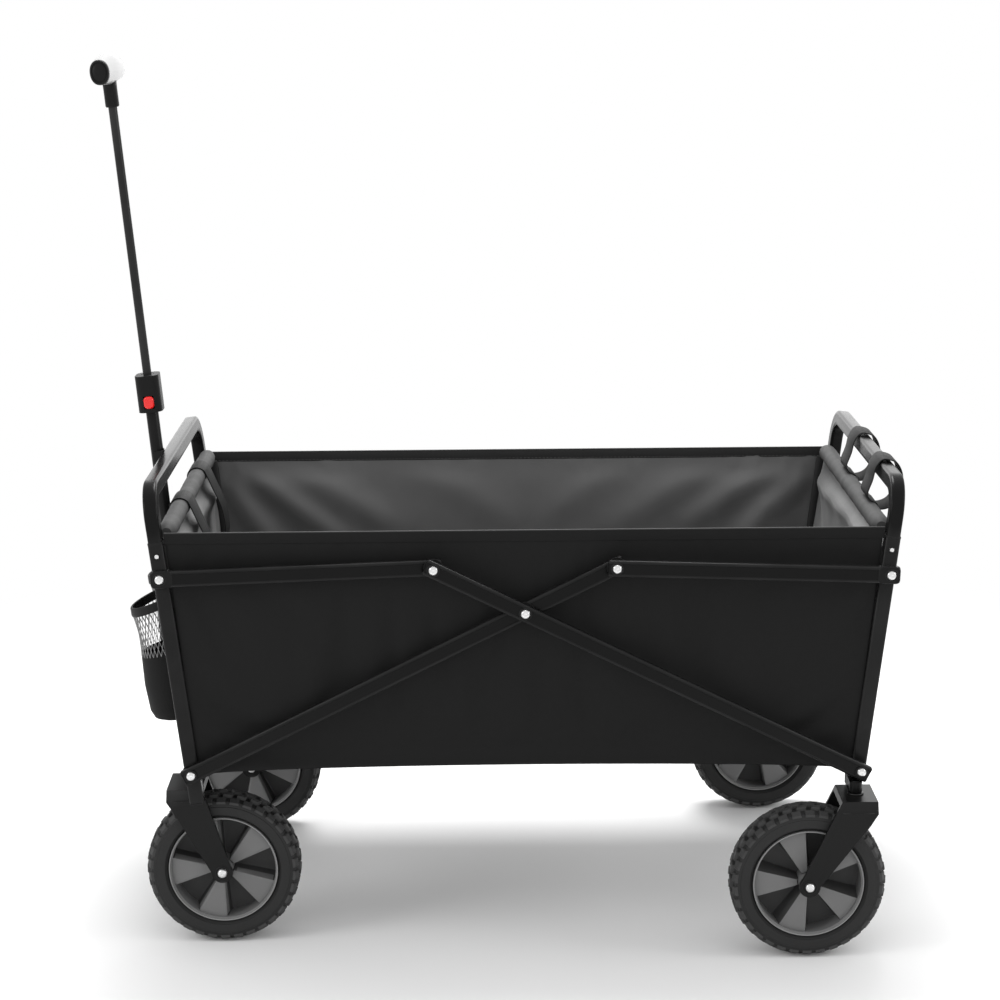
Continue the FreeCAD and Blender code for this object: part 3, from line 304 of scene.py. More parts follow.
ZINC = coated("zinc_steel", 0.72, 0.85, 500.0, 0.4, (0.20, 0.34), 0.05, Metallic=1.0)
DARK_ZINC = coated("dark_steel", 0.06, 0.3, 500.0, 0.6, (0.26, 0.40), 0.05, Metallic=1.0)
RED = coated("red_button", 0.1, 0.2, 600.0, 0.1, (0.22, 0.30), 0.05, Coat_Weight=0.3, Coat_Roughness=0.2)
for socket, colour in (("Colour", (0.80, 0.008, 0.006, 1)), ("Worn", (0.9, 0.04, 0.03, 1))):
    next(n for n in RED.node_tree.nodes if n.type == "GROUP").inputs[socket].default_value = colour
OUTER_CLOTH = woven("outer_canvas", 0.004, 0.010, 2600.0, (0.62, 0.80), Specular_IOR_Level=0.15)
LINING = woven("satin_lining", 0.070, 0.14, 2600.0, (0.38, 0.54), 0.2, Sheen_Weight=0.15, Sheen_Roughness=0.4)
SLEEVE = woven("sleeve_canvas", 0.045, 0.075, 2600.0, (0.60, 0.74), 0.3, Specular_IOR_Level=0.2)
BINDING = woven("seam_binding", 0.012, 0.026, 1800.0, (0.50, 0.62), 0.4, Specular_IOR_Level=0.25)
PAD_CLOTH = woven("pad_cloth", 0.020, 0.045, 2200.0, (0.50, 0.66), 0.3, Specular_IOR_Level=0.25)
WEBBING = woven("black_webbing", 0.004, 0.013, 1500.0, (0.55, 0.70), 0.6, Specular_IOR_Level=0.2)
ELASTIC = woven("black_elastic", 0.003, 0.010, 1900.0, (0.50, 0.62), 0.5, Specular_IOR_Level=0.2)
NET = woven("pocket_net", 0.16, 0.30, 2400.0, (0.45, 0.60), 0.3)
THREAD = woven("sewing_thread", 0.05, 0.11, 4000.0, (0.45, 0.60), 0.3)

# ---------------------------------------------------------------- mesh makers


def solid(bm):
    """Merges doubles and points every face outward."""
    bmesh.ops.remove_doubles(bm, verts=bm.verts, dist=1e-6)
    bmesh.ops.recalc_face_normals(bm, faces=bm.faces)
    return bm


def piece(name, bm, materials, body, stands_for=(), place=UPRIGHT, smooth=math.radians(38)):
    """Makes a mesh a piece of the object that rides on a body."""
    bm.transform(place)
    mesh = bpy.data.meshes.new(name)
    bm.to_mesh(mesh)
    bm.free()
    for material in materials if isinstance(materials, (list, tuple)) else [materials]:
        mesh.materials.append(material)
    thing = bpy.data.objects.new(name, mesh)
    bpy.context.scene.collection.objects.link(thing)
    mesh.shade_smooth()
    mesh.set_sharp_from_angle(angle=smooth)
    return bind(thing, body, stands_for)


def bind(thing, body, stands_for=()):
    """Says what a piece rides on and which nodes it stands for."""
    if body:
        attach(thing, body)
    if stands_for:
        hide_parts(*stands_for)
    return thing


def baked(thing):
    """Applies a piece's modifiers to its mesh."""
    bpy.context.view_layer.update()
    shape = thing.evaluated_get(bpy.context.evaluated_depsgraph_get())
    mesh = bpy.data.meshes.new_from_object(shape)
    thing.modifiers.clear()
    thing.data = mesh
    return thing


def ring(bm, points):
    """A loop of new vertices."""
    return [bm.verts.new(p) for p in points]


def bridge(bm, first, second, closed=True):
    """Quads between two loops of the same length."""
    count = len(first)
    faces = []
    for i in range(count if closed else count - 1):
        j = (i + 1) % count
        faces.append(bm.faces.new((first[i], first[j], second[j], second[i])))
    return faces


def round_box(wide, tall, radius, steps=4):
    """A rectangle with round corners, as (across, up) points."""
    points = []
    for cx, cy, start in ((1, 1, 0), (-1, 1, 90), (-1, -1, 180), (1, -1, 270)):
        for i in range(steps + 1):
            angle = math.radians(start + 90 * i / steps)
            points.append((cx * (wide / 2 - radius) + radius * math.cos(angle),
                           cy * (tall / 2 - radius) + radius * math.sin(angle)))
    return points


def oval(wide, tall, power=2.0, count=28):
    """A rounded oval, as (across, up) points: power 2 is an ellipse, more is squarer."""
    points = []
    for i in range(count):
        angle = math.tau * i / count
        c, s = math.cos(angle), math.sin(angle)
        points.append((wide / 2 * math.copysign(abs(c) ** (2 / power), c),
                       tall / 2 * math.copysign(abs(s) ** (2 / power), s)))
    return points


def sweep(path, section, across, closed=False, sizes=None):
    """A section carried along a path.  Its first direction is across, its second is square to the run."""
    bm = bmesh.new()
    count = len(path)
    loops = []
    for i, point in enumerate(path):
        ahead = path[(i + 1) % count] if closed or i < count - 1 else point
        behind = path[i - 1] if closed or i else point
        run = (ahead - behind).normalized()
        side = across[i] if isinstance(across, list) else across
        up = run.cross(side).normalized()
        size = sizes[i] if sizes else 1.0
        loops.append(ring(bm, [point + side * a * size + up * b * size for a, b in section]))
    for i in range(count if closed else count - 1):
        bridge(bm, loops[i], loops[(i + 1) % count])
    if not closed:
        bm.faces.new(loops[0])
        bm.faces.new(loops[-1])
    return solid(bm)


def lathe(profile, count, place=UPRIGHT, closed=False):
    """A profile of (radius, height) turned about its place's Z."""
    bm = bmesh.new()
    loops = []
    for radius, height in profile:
        if radius < 1e-7:
            loops.append([bm.verts.new((0, 0, height))] * count)
        else:
            loops.append(ring(bm, [(radius * math.cos(math.tau * i / count),
                                    radius * math.sin(math.tau * i / count), height) for i in range(count)]))
    pairs = list(zip(loops, loops[1:])) + ([(loops[-1], loops[0])] if closed else [])
    for first, second in pairs:
        for i in range(count):
            j = (i + 1) % count
            corners = dict.fromkeys((first[i], first[j], second[j], second[i]))
            if len(corners) > 2:
                bm.faces.new(list(corners))
    solid(bm)
    bm.transform(place)
    return bm


def merged(*parts):
    """Several meshes as one, each kept whole."""
    whole = bmesh.new()
    for part in parts:
        mesh = bpy.data.meshes.new("part")
        part.to_mesh(mesh)
        part.free()
        whole.from_mesh(mesh)
        bpy.data.meshes.remove(mesh)
    return whole


def facing(side):
    """Turns a lathe's Z axis to the near or the far side."""
    return Matrix.Rotation(math.radians(-90 * side), 4, "X")


def softened(name, node, material, body, width=0.6 * MM, steps=2):
    """A CAD node's shape with its edges rounded over."""
    bm = bmesh.new()
    bm.from_mesh(frame["nodes"][node].data)
    bmesh.ops.remove_doubles(bm, verts=bm.verts, dist=1e-5)
    bmesh.ops.dissolve_limit(bm, angle_limit=math.radians(1), verts=bm.verts, edges=bm.edges)
    thing = piece(name, bm, material, None, smooth=math.radians(32))
    bevel = thing.modifiers.new("edges", "BEVEL")
    bevel.width = width
    bevel.segments = steps
    bevel.limit_method = "ANGLE"
    bevel.angle_limit = math.radians(38)
    bevel.use_clamp_overlap = True
    return bind(baked(thing), body, (node,))


# ---------------------------------------------------------------- copies on points


def copies_tree():
    """Copies of a template on a mesh's points, each with its own turn and size."""
    tree = bpy.data.node_groups.new("copies on points", "GeometryNodeTree")
    for socket, kind in (("Geometry", "NodeSocketGeometry"), ("Template", "NodeSocketObject"),
                         ("Material", "NodeSocketMaterial"), ("Size", FLOAT)):
        tree.interface.new_socket(socket, in_out="INPUT", socket_type=kind)
    tree.interface.new_socket("Geometry", in_out="OUTPUT", socket_type="NodeSocketGeometry")
    nodes, links = tree.nodes, tree.links
    into, out = nodes.new("NodeGroupInput"), nodes.new("NodeGroupOutput")
    source = nodes.new("GeometryNodeObjectInfo")
    place = nodes.new("GeometryNodeInstanceOnPoints")
    turn = nodes.new("GeometryNodeInputNamedAttribute")
    turn.data_type = "FLOAT_VECTOR"
    turn.inputs["Name"].default_value = "turn"
    real = nodes.new("GeometryNodeRealizeInstances")
    paint = nodes.new("GeometryNodeSetMaterial")
    links.new(into.outputs["Template"], source.inputs["Object"])
    links.new(into.outputs["Geometry"], place.inputs["Points"])
    links.new(source.outputs["Geometry"], place.inputs["Instance"])
    links.new(turn.outputs["Attribute"], place.inputs["Rotation"])
    links.new(into.outputs["Size"], place.inputs["Scale"])
    links.new(place.outputs["Instances"], real.inputs["Geometry"])
    links.new(real.outputs["Geometry"], paint.inputs["Geometry"])
    links.new(into.outputs["Material"], paint.inputs["Material"])
    links.new(paint.outputs["Geometry"], out.inputs["Geometry"])
    return tree


COPIES = copies_tree()


def copies(name, template, spots, material, body, stands_for=()):
    """One piece made of copies of a template mesh at (point, turn) spots."""
    shape = bpy.data.meshes.new("template")
    template.to_mesh(shape)
    template.free()
    shape.shade_smooth()
    shape.set_sharp_from_angle(angle=math.radians(38))
    pattern = bpy.data.objects.new("template", shape)
    bpy.context.scene.collection.objects.link(pattern)
    mesh = bpy.data.meshes.new(name)
    mesh.from_pydata([tuple(point) for point, _ in spots], [], [])
    turns = mesh.attributes.new("turn", "FLOAT_VECTOR", "POINT")
    turns.data.foreach_set("vector", [value for _, turn in spots for value in turn])
    thing = bpy.data.objects.new(name, mesh)
    bpy.context.scene.collection.objects.link(thing)
    modifier = thing.modifiers.new("copies", "NODES")
    modifier.node_group = COPIES
    for item in COPIES.interface.items_tree:
        if item.in_out == "INPUT" and item.name != "Geometry":
            value = {"Template": pattern, "Material": material, "Size": 1.0}[item.name]
            modifier[item.identifier] = value
    baked(thing)
    bpy.data.objects.remove(pattern)
    for name_left in [a.name for a in thing.data.attributes if a.name == "turn"]:
        thing.data.attributes.remove(thing.data.attributes[name_left])
    return bind(thing, body, stands_for)


# ---------------------------------------------------------------- rivets, bolts and washers

RIVET_TURNS = {-1: (math.radians(90), 0, 0), 1: (math.radians(-90), 0, 0)}


def domed_head(radius, height):
    """A domed head with a rolled foot and a small dimple, its seat at zero."""
    profile = [(0, height * 0.86), (radius * 0.16, height * 0.88), (radius * 0.26, height)]
    for i in range(1, 7):
        angle = math.radians(90 * i / 6)
        profile.append((radius * (0.26 + 0.70 * math.sin(angle)), height * (0.18 + 0.82 * math.cos(angle))))
    profile += [(radius, height * 0.1), (radius, 0), (0, 0)]
    return lathe(profile, 28)


def dished_washer(outer, inner, tall):
    """A washer with a raised lip."""
    return lathe([(inner, 0), (outer, 0), (outer, tall * 0.6), (outer * 0.93, tall),
                  (outer * 0.80, tall * 0.75),
                  (inner, tall * 0.75)], 32, closed=True)


def rivet_set(label, spots, head, body, stands_for, ring_radius=7.8 * MM):
    """Domed rivets, each on a dark dished washer.  A spot is (x, face, z, side)."""
    lift = 0.9 * MM
    placed = [(Vector((x, y, z)), RIVET_TURNS[side]) for x, y, z, side in spots]
    copies(f"{label}_washers", dished_washer(ring_radius, 3 * MM, lift), placed, PLASTIC, body)
    raised = [(Vector((x, y + side * lift * 0.7, z)), RIVET_TURNS[side]) for x, y, z, side in spots]
    copies(label, domed_head(*head), raised, ZINC, body, stands_for)


def outer_face(node, place):
    """How far a near node's outside is from the centre plane."""
    return -box_in(node, place)[0].y


INNER_FACE = outer_face("diagonal_b_near", UPRIGHT)
OUTER_FACE = outer_face("diagonal_a_near", UPRIGHT)
POST_FACE = outer_face("front_leg_near", UPRIGHT)
HEAD = (5.4 * MM, 2.3 * MM)
SEAM_HEAD = (2.6 * MM, 0.5 * MM)


def both(point, face):
    """A point's two rivet spots, near and far."""
    return [(point.x, side * face, point.z, side) for side, _ in SIDES]


SEAM_RISE = box_in("front_leg_near", FRONT)[1].z
SEAM_DOWN = 15 * MM
rivet_set("centre_rivet_heads", both(CENTRE_PIN, OUTER_FACE), HEAD, "diagonals_b", ("centre_rivets",))
rivet_set("knee_rivet_heads_b", both(KNEE_B, OUTER_FACE), HEAD, "diagonals_b", ("knee_rivets_b",))
rivet_set("knee_rivet_heads_a", both(KNEE_A, OUTER_FACE), HEAD, "diagonals_a", ("knee_rivets_a",))
rivet_set("link_a_heads", both(UPPER_A, INNER_FACE), HEAD, "links_a", ("link_a_pins",))
rivet_set("link_b_heads", both(UPPER_B, OUTER_FACE), HEAD, "links_b", ())
rivet_set("front_foot_heads", both(FRONT_PIN, INNER_FACE), HEAD, "front_frame", ("front_rivets",))
rivet_set("rear_foot_heads", both(REAR_PIN, OUTER_FACE), HEAD, "rear_frame", ())
for label, place, body in (("front", FRONT, "front_frame"), ("rear", REAR, "rear_frame")):
    seam = place @ Vector((0, 0, SEAM_RISE - SEAM_DOWN))
    rivet_set(f"{label}_seam_heads", both(seam, POST_FACE), SEAM_HEAD, body, (), 3.8 * MM)


def spacer_pair(name, point, body, node):
    """A moulded spacer between a post and the outer bar, on each side."""
    inner, outer = POST_FACE, -box_in("diagonal_a_near", UPRIGHT)[1].y
    radius, lip = 7.5 * MM, 0.8 * MM
    profile = [(3.2 * MM, 0), (radius - lip, 0), (radius, lip), (radius, outer - inner - lip),
               (radius - lip, outer - inner), (3.2 * MM, outer - inner)]
    parts = [lathe(profile, 28, Matrix.Translation((point.x, side * inner, point.z)) @ facing(side),
                   closed=True)
             for side, _ in SIDES]
    piece(name, merged(*parts), PLASTIC, body, (node,))


spacer_pair("rear_foot_spacers", REAR_PIN, "rear_frame", "rear_rivets")
spacer_pair("link_b_spacers", UPPER_B, "links_b", "link_b_pins")
for node, body in (("joint_washers_a", "diagonals_a"), ("joint_washers_b", "diagonals_b")):
    softened(f"{node}_moulded", node, PLASTIC, body, 0.3 * MM)

# ---------------------------------------------------------------- scissor bars


def bar_section(wide, tall):
    """A rectangular tube's outline with a shallow channel rolled into each broad face."""
    radius, channel, deep = 2.2 * MM, 5.6 * MM, 0.5 * MM
    half_w, half_t = wide / 2, tall / 2
    corners = round_box(wide, tall, radius, 3)
    quarter = len(corners) // 4
    right = [(half_w, -channel - deep), (half_w - deep, -channel), (half_w - deep, channel),
             (half_w, channel + deep)]
    left = [(-a, -b) for a, b in right]
    top_right, top_left = corners[:quarter], corners[quarter:2 * quarter]
    low_left, low_right = corners[2 * quarter:3 * quarter], corners[3 * quarter:]
    assert half_t > channel + deep
    return right + top_right + top_left + left + low_left + low_right


def bar_piece(node, place, body):
    """One scissor bar with crimped ends."""
    low, high = box_in(node, place)
    middle = (low.y + high.y) / 2
    crimp = 1.2 * MM
    stops = ((low.x, 0.90), (low.x + crimp, 1.0), (high.x - crimp, 1.0), (high.x, 0.90))
    path = [Vector((x, middle, (low.z + high.z) / 2)) for x, _ in stops]
    section = bar_section(high.y - low.y, high.z - low.z)
    bm = sweep(path, section, Y_AXIS, sizes=[size for _, size in stops])
    piece(f"{node}_tube", bm, FRAME_BLACK, body, (node,), place)


def end_wrap(name, place, low, high, at, reach, body):
    """A moulded cap that wraps the end of a bar, with a rounded outer corner."""
    proud = 0.45 * MM
    bm = bmesh.new()
    length, tall = 26 * MM, high.z - low.z + 2 * proud
    section = round_box(length, tall, 5 * MM, 6)
    middle = at - reach * (length / 2 - (high.z - low.z) / 2 - proud)
    faces = []
    lip = 0.8 * MM
    for y, inset in ((low.y - proud, lip), (low.y - proud + lip, 0), (high.y + proud - lip, 0),
                     (high.y + proud, lip)):
        faces.append(ring(bm, [(middle + a * (1 - 2 * inset / length), y, b * (1 - 2 * inset / tall))
                               for a, b in section]))
    for first, second in zip(faces, faces[1:]):
        bridge(bm, first, second)
    bm.faces.new(faces[0])
    bm.faces.new(faces[-1])
    piece(name, solid(bm), FRAME_BLACK, body, (), place)


for label, (place, body) in BARS.items():
    for side, word in SIDES:
        bar_piece(f"{label}_{word}", place, body)
        if label.startswith("link"):
            low, high = box_in(f"{label}_{word}", place)
            post_end = high.x - (high.z - low.z) / 2
            end_wrap(f"{label}_wrap_{word}", place, low, high, post_end, 1, body)

# ---------------------------------------------------------------- posts, bows and cross tubes


def post_piece(node, place, body):
    """A square post with rounded edges and a plug in its foot."""
    low, high = box_in(node, place)
    middle = Vector(((low.x + high.x) / 2, (low.y + high.y) / 2, 0))
    lip = 1.0 * MM
    stops = ((low.z, 0.90), (low.z + lip, 1.0), (high.z - lip, 1.0), (high.z, 0.94))
    path = [middle + Z_AXIS * z for z, _ in stops]
    section = round_box(high.x - low.x, high.y - low.y, 3 * MM, 4)
    tube = sweep(path, section, X_AXIS, sizes=[size for _, size in stops])
    piece(f"{node}_tube", tube, FRAME_BLACK, body, (node,), place)
    plug = round_box(high.x - low.x - 3 * MM, high.y - low.y - 3 * MM, 2.5 * MM, 4)
    foot = sweep([middle + Z_AXIS * (low.z - 1.2 * MM), middle + Z_AXIS * (low.z + 6 * MM)], plug, X_AXIS)
    piece(f"{node}_plug", foot, PLASTIC, body, (), place)


def bow_path(node, place, corner=36 * MM, steps=12):
    """The centre line of an inverted U between its two seams."""
    high = box_in(node, place)[1]
    post_low, post_high = box_in(node.replace("bow", "leg_near"), place)
    half = -(post_low.y + post_high.y) / 2
    deep = post_high.y - post_low.y
    top, seam = high.z - deep / 2, post_high.z
    path = [Vector((0, -half, seam))]
    for side in (-1, 1):
        for i in range(steps + 1):
            angle = math.radians(90 * i / steps)
            out, rise = (math.cos(angle), math.sin(angle)) if side < 0 else (math.sin(angle), math.cos(angle))
            path.append(Vector((0, side * (half - corner + corner * out), top - corner + corner * rise)))
    return path + [Vector((0, half, seam))]


def bow_section(wide, deep):
    """A flattened oval with a fine rolled line down each broad face."""
    points = oval(wide, deep, 6.0, 48)
    line = 0.45 * MM
    return [(a * (1 - line / abs(a)), b) if abs(b) < 1.2 * MM and a else (a, b) for a, b in points]


def bow_piece(node, place, body):
    """The bow, with a collar over each seam."""
    low, high = box_in(node, place)
    post_low, post_high = box_in(node.replace("bow", "leg_near"), place)
    section = bow_section(high.x - low.x, post_high.y - post_low.y)
    path = bow_path(node, place)
    piece(f"{node}_tube", sweep(path, section, X_AXIS), FRAME_BLACK, body, (node,), place)
    collars = []
    for end in (path[0], path[-1]):
        band = round_box(post_high.x - post_low.x + 0.6 * MM, post_high.y - post_low.y + 0.6 * MM, 4 * MM, 5)
        stops = ((-1.6, 0.96), (-1.0, 1.0), (1.0, 1.0), (1.6, 0.96))
        run = [end + Z_AXIS * offset * MM for offset, _ in stops]
        collars.append(sweep(run, band, X_AXIS, sizes=[size for _, size in stops]))
    piece(f"{node}_collars", merged(*collars), PLASTIC, body, (), place)


def cross_piece(node, place, body):
    """A cross tube with flared ends and a weld bead at each."""
    low, high = box_in(node, place)
    radius = (high.z - low.z) / 2
    centre = Vector(((low.x + high.x) / 2, 0, (low.z + high.z) / 2))
    half = high.y
    profile = [(0, -half)]
    for y, size in ((-half, 1.16), (-half + 1.5 * MM, 1.2), (-half + 3 * MM, 1.08), (-half + 5 * MM, 1.0)):
        profile.append((radius * size, y))
    profile += [(r, -y) for r, y in reversed(profile)]
    bm = lathe(profile, 32, Matrix.Translation(centre) @ Matrix.Rotation(math.radians(-90), 4, "X"))
    piece(f"{node}_bar", bm, FRAME_BLACK, body, (node,), place)


for end, place, body in (("front", FRONT, "front_frame"), ("rear", REAR, "rear_frame")):
    for side, word in SIDES:
        post_piece(f"{end}_leg_{word}", place, body)
    bow_piece(f"{end}_bow", place, body)
    cross_piece(f"{end}_cross_tube", place, body)

# ---------------------------------------------------------------- wheels

LUGS = 34
SPOKES = 5


def tyre_piece(label, centre, radius, half, seat, body):
    """A tyre: smooth side walls with a step line, and a tread of chunky blocks."""
    base = radius - 4.6 * MM
    side = []
    for r, y in ((seat, 0.62), (seat + 2 * MM, 0.80), (seat + 4 * MM, 0.86), (seat + 5 * MM, 0.97),
                 (radius - 16 * MM, 1.0), (radius - 12.5 * MM, 1.0), (radius - 12 * MM, 0.965),
                 (radius - 9 * MM, 0.95), (radius - 6 * MM, 0.86), (base, 0.66), (base + 0.5 * MM, 0.3)):
        side.append((r, y * half))
    profile = [(r, -y) for r, y in side] + [(r, y) for r, y in reversed(side)]
    turn = Matrix.Translation(centre) @ Matrix.Rotation(math.radians(-90), 4, "X")
    carcass = lathe(profile, 72, turn, closed=True)
    piece(f"{label}_carcass", carcass, RUBBER, body, (label,))

    def lug(wide, deep, skew):
        """A tapered block, lower at its outer end, with its foot sunk in the tread."""
        bm = bmesh.new()
        tall, sunk = 4.6 * MM, 2.0 * MM
        loops = []
        for z, size in ((-sunk, 1.08), (tall * 0.8, 1.0), (tall, 0.84)):
            loops.append(ring(bm, [(a * size + skew * b * 0.4, b * size, z) for a, b in
                                   ((-wide / 2, -deep / 2), (wide / 2, -deep / 2), (wide / 2, deep / 2),
                                    (-wide / 2, deep / 2))]))
        bridge(bm, loops[0], loops[1])
        bridge(bm, loops[1], loops[2])
        bm.faces.new(loops[0])
        bm.faces.new(loops[2])
        return solid(bm)

    pitch = math.tau / LUGS
    rows = (
        ("shoulder_a", -0.74 * half, 0.0, 11.0, 9.0, 0.0, 3.2, -28),
        ("shoulder_b", 0.74 * half, 0.5, 11.0, 9.0, 0.0, 3.2, 28),
        ("tread_a", -0.25 * half, 0.5, 11.0, 9.5, 0.7, 0.0, 0),
        ("tread_b", 0.25 * half, 0.0, 11.0, 9.5, -0.7, 0.0, 0),
    )
    for word, y, phase, wide, deep, skew, drop, tip in rows:
        spots = []
        for i in range(LUGS):
            angle = (i + phase) * pitch
            reach = base - drop * MM
            point = centre + Vector((reach * math.sin(angle), y, reach * math.cos(angle)))
            turn = Matrix.Rotation(angle, 4, "Y") @ Matrix.Rotation(math.radians(-tip), 4, "X")
            spots.append((point, tuple(turn.to_euler())))
        copies(f"{label}_{word}", lug(wide * MM, deep * MM, skew), spots, RUBBER, body)


def web_depth(angle, start):
    """Where the corrugated web stands: -1 at the near face, 1 at the far face."""
    turn = ((angle - start) / math.tau * SPOKES) % 1.0
    away = min(turn, 1 - turn) * 360 / SPOKES
    share = min(1.0, max(0.0, (away - 15.5) / 5.0))
    return -1 + 2 * share * share * (3 - 2 * share)


def rim_piece(label, centre, seat, half, start, body):
    """A one-piece rim: a lipped ring, a corrugated web of five and five panels, and a hub. The recessed web
    panels are painted darker as painted shade, and the lip is painted lighter as a painted highlight.
    """
    turn = Matrix.Translation(centre) @ Matrix.Rotation(math.radians(-90), 4, "X")
    edge = half * 0.80
    hub, inner, wall = 11 * MM, seat - 2.6 * MM, 1.4 * MM
    barrel = lathe([(inner, -edge + 2 * MM), (seat - 1 * MM, -edge), (seat, -edge), (seat, edge),
                    (seat - 1 * MM, edge), (inner, edge - 2 * MM)], 96, turn, closed=True)
    lips = []
    for side in (-1, 1):
        y = side * (edge + 0.3 * MM)
        lips.append(lathe([(seat - 1.2 * MM, y), (seat - 0.8 * MM, y + side * 1.5 * MM),
                           (seat + 0.2 * MM, y + side * 1.7 * MM), (seat + 0.8 * MM, y + side * 0.5 * MM),
                           (seat + 0.5 * MM, y - side * 1.5 * MM), (seat - 1.2 * MM, y - side * 1.5 * MM)],
                          96, turn, closed=True))
    web = bmesh.new()
    count, amplitude = 180, 12.5 * MM
    radii = [hub - 1 * MM, hub + 2 * MM, hub + 5 * MM, (hub + inner) / 2, inner - 6 * MM, inner - 2 * MM,
             inner + 1 * MM]
    fade = [0.55, 0.92, 1.0, 1.0, 1.0, 0.97, 0.94]
    skins = []
    for offset in (-wall, wall):
        loops = []
        for radius, size in zip(radii, fade):
            points = []
            for i in range(count):
                angle = math.tau * i / count
                depth = amplitude * size * web_depth(angle, start) + offset
                points.append(centre + Vector((radius * math.cos(angle), depth, radius * math.sin(angle))))
            loops.append(ring(web, points))
        for first, second in zip(loops, loops[1:]):
            bridge(web, first, second)
        skins.append(loops)
    bridge(web, skins[0][0], skins[1][0])
    bridge(web, skins[0][-1], skins[1][-1])
    # Faces set back from the visible face take the darker rim material: painted shade in the recesses.
    for face in web.faces:
        middle = face.calc_center_median()
        angle = math.atan2(middle.z - centre.z, middle.x - centre.x)
        far_skin = middle.y - centre.y > amplitude * web_depth(angle, start)
        level = web_depth(angle, start)
        face.material_index = int(level < 0.4 if far_skin else level > -0.4)
    solid(web)
    hub_half = -box_in(label, Matrix.Translation(centre))[0].y
    bore = 5.2 * MM
    hub_tube = lathe([(bore, -hub_half), (hub - 1 * MM, -hub_half), (hub, -hub_half + 1 * MM),
                      (hub + 1 * MM, 0), (hub, hub_half - 1 * MM), (hub - 1 * MM, hub_half),
                      (bore, hub_half)], 40, turn, closed=True)
    piece(f"{label}_web", merged(web, barrel, hub_tube), [RIM_GREY, RIM_PAINTED_SHADE], body, (label,))
    # The lips take the lighter lip material, a painted highlight.
    piece(f"{label}_lips", merged(*lips), RIM_LIP_PAINTED_HIGHLIGHT, body)


PANEL_STARTS = {"front_near": 112, "front_far": 60, "rear_near": 109, "rear_far": 82}
for end in ("front", "rear"):
    for side, word in SIDES:
        body = f"{end}_wheel_{word}"
        centre = spot(f"{end}_wheel_spin_{word}")
        tyre, rim = f"{end}_tyre_{word}", f"{end}_rim_{word}"
        low, high = box_in(tyre, Matrix.Translation(centre))
        seat = box_in(rim, Matrix.Translation(centre))[1].z
        tyre_piece(tyre, centre, high.z, high.y, seat + 0.3 * MM, body)
        rim_piece(rim, centre, seat, high.y, math.radians(PANEL_STARTS[f"{end}_{word}"]), body)

# ---------------------------------------------------------------- forks, casters and axle bolts


def fork_piece(node, body, toward):
    """A pressed fork with a rolled line under its crown and a boss round the axle."""
    softened(f"{node}_pressed", node, FORK_BLACK, body, 1.3 * MM, 3)
    low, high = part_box(node)
    centre = (low.y + high.y) / 2
    half = (high.y - low.y) / 2
    drop, proud = 14.5 * MM, 0.7 * MM
    crown_low, crown_high = (low.x, high.x)
    middle = (crown_low + 24 * MM) if toward > 0 else (crown_high - 24 * MM)
    span = 38 * MM
    beads = []
    for side in (-1, 1):
        y = centre + side * half
        path = [Vector((middle - span / 2 + span * i / 8, y, high.z - drop)) for i in range(9)]
        sizes = [0.3] + [1.0] * 7 + [0.3]
        beads.append(sweep(path, oval(1.8 * MM, 2 * proud, 2.0, 10), Z_AXIS, sizes=sizes))
    piece(f"{node}_bead", merged(*beads), FORK_BLACK, body)


def bolt_heads(label, centre, half, body, stands_for):
    """Domed axle-bolt heads on flat washers at both sides of a fork."""
    spots = [(centre + Y_AXIS * side * half, RIVET_TURNS[side]) for side in (-1, 1)]
    copies(f"{label}_washers", dished_washer(9.0 * MM, 4 * MM, 1.1 * MM), spots, PLASTIC, body)
    raised = [(point + Y_AXIS * side * 0.9 * MM, turn) for (point, turn), side in zip(spots, (-1, 1))]
    copies(label, domed_head(6.0 * MM, 3.8 * MM), raised, ZINC, body, stands_for)


for side, word in SIDES:
    fork_piece(f"front_fork_{word}", "front_frame", 1)
    fork_piece(f"caster_fork_{word}", f"caster_{word}", -1)
    front_low, front_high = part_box(f"front_fork_{word}")
    bolt_heads(f"front_axle_heads_{word}", spot(f"front_wheel_spin_{word}"), (front_high.y - front_low.y) / 2,
               "front_frame", ("front_axle_bolts",) if word == "near" else ())
    rear_low, rear_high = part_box(f"caster_fork_{word}")
    bolt_heads(f"caster_axle_heads_{word}", spot(f"rear_wheel_spin_{word}"), (rear_high.y - rear_low.y) / 2,
               f"caster_{word}", ())
    softened(f"caster_bracket_{word}_cast", f"caster_bracket_{word}", FRAME_BLACK, "rear_frame",
             1.5 * MM, 3)
    softened(f"caster_stem_{word}", f"caster_bolts_{word}", DARK_ZINC, f"caster_{word}",
             0.4 * MM)

SHANK = [(0, -31 * MM), (4.9 * MM, -31 * MM), (4.9 * MM, 31 * MM), (0, 31 * MM)]
shanks = [lathe(SHANK, 20, Matrix.Translation(spot(f"front_wheel_spin_{word}")) @ facing(1))
          for _, word in SIDES]
piece("front_axle_shanks", merged(*shanks), ZINC, "front_frame")

# ---------------------------------------------------------------- basket cloth

CLOTH = 1.4 * MM


def crumples(thing):
    """Gives a cloth piece a mesh of its own."""
    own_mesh(thing)


def ridge(x, z, line, width, height):
    """A soft fold that runs along a line of (x, z) points, fading at its ends."""
    best, share = 1e9, 0.0
    total = len(line) - 1
    here = Vector((x, z))
    for i in range(total):
        start, end = Vector(line[i]), Vector(line[i + 1])
        run = end - start
        t = min(1.0, max(0.0, (here - start).dot(run) / run.length_squared))
        gap = (here - start - run * t).length
        if gap < best:
            best, share = gap, (i + t) / total
    return height * math.exp(-(best / width) ** 2) * math.sin(math.pi * min(1.0, max(0.0, share))) ** 0.6


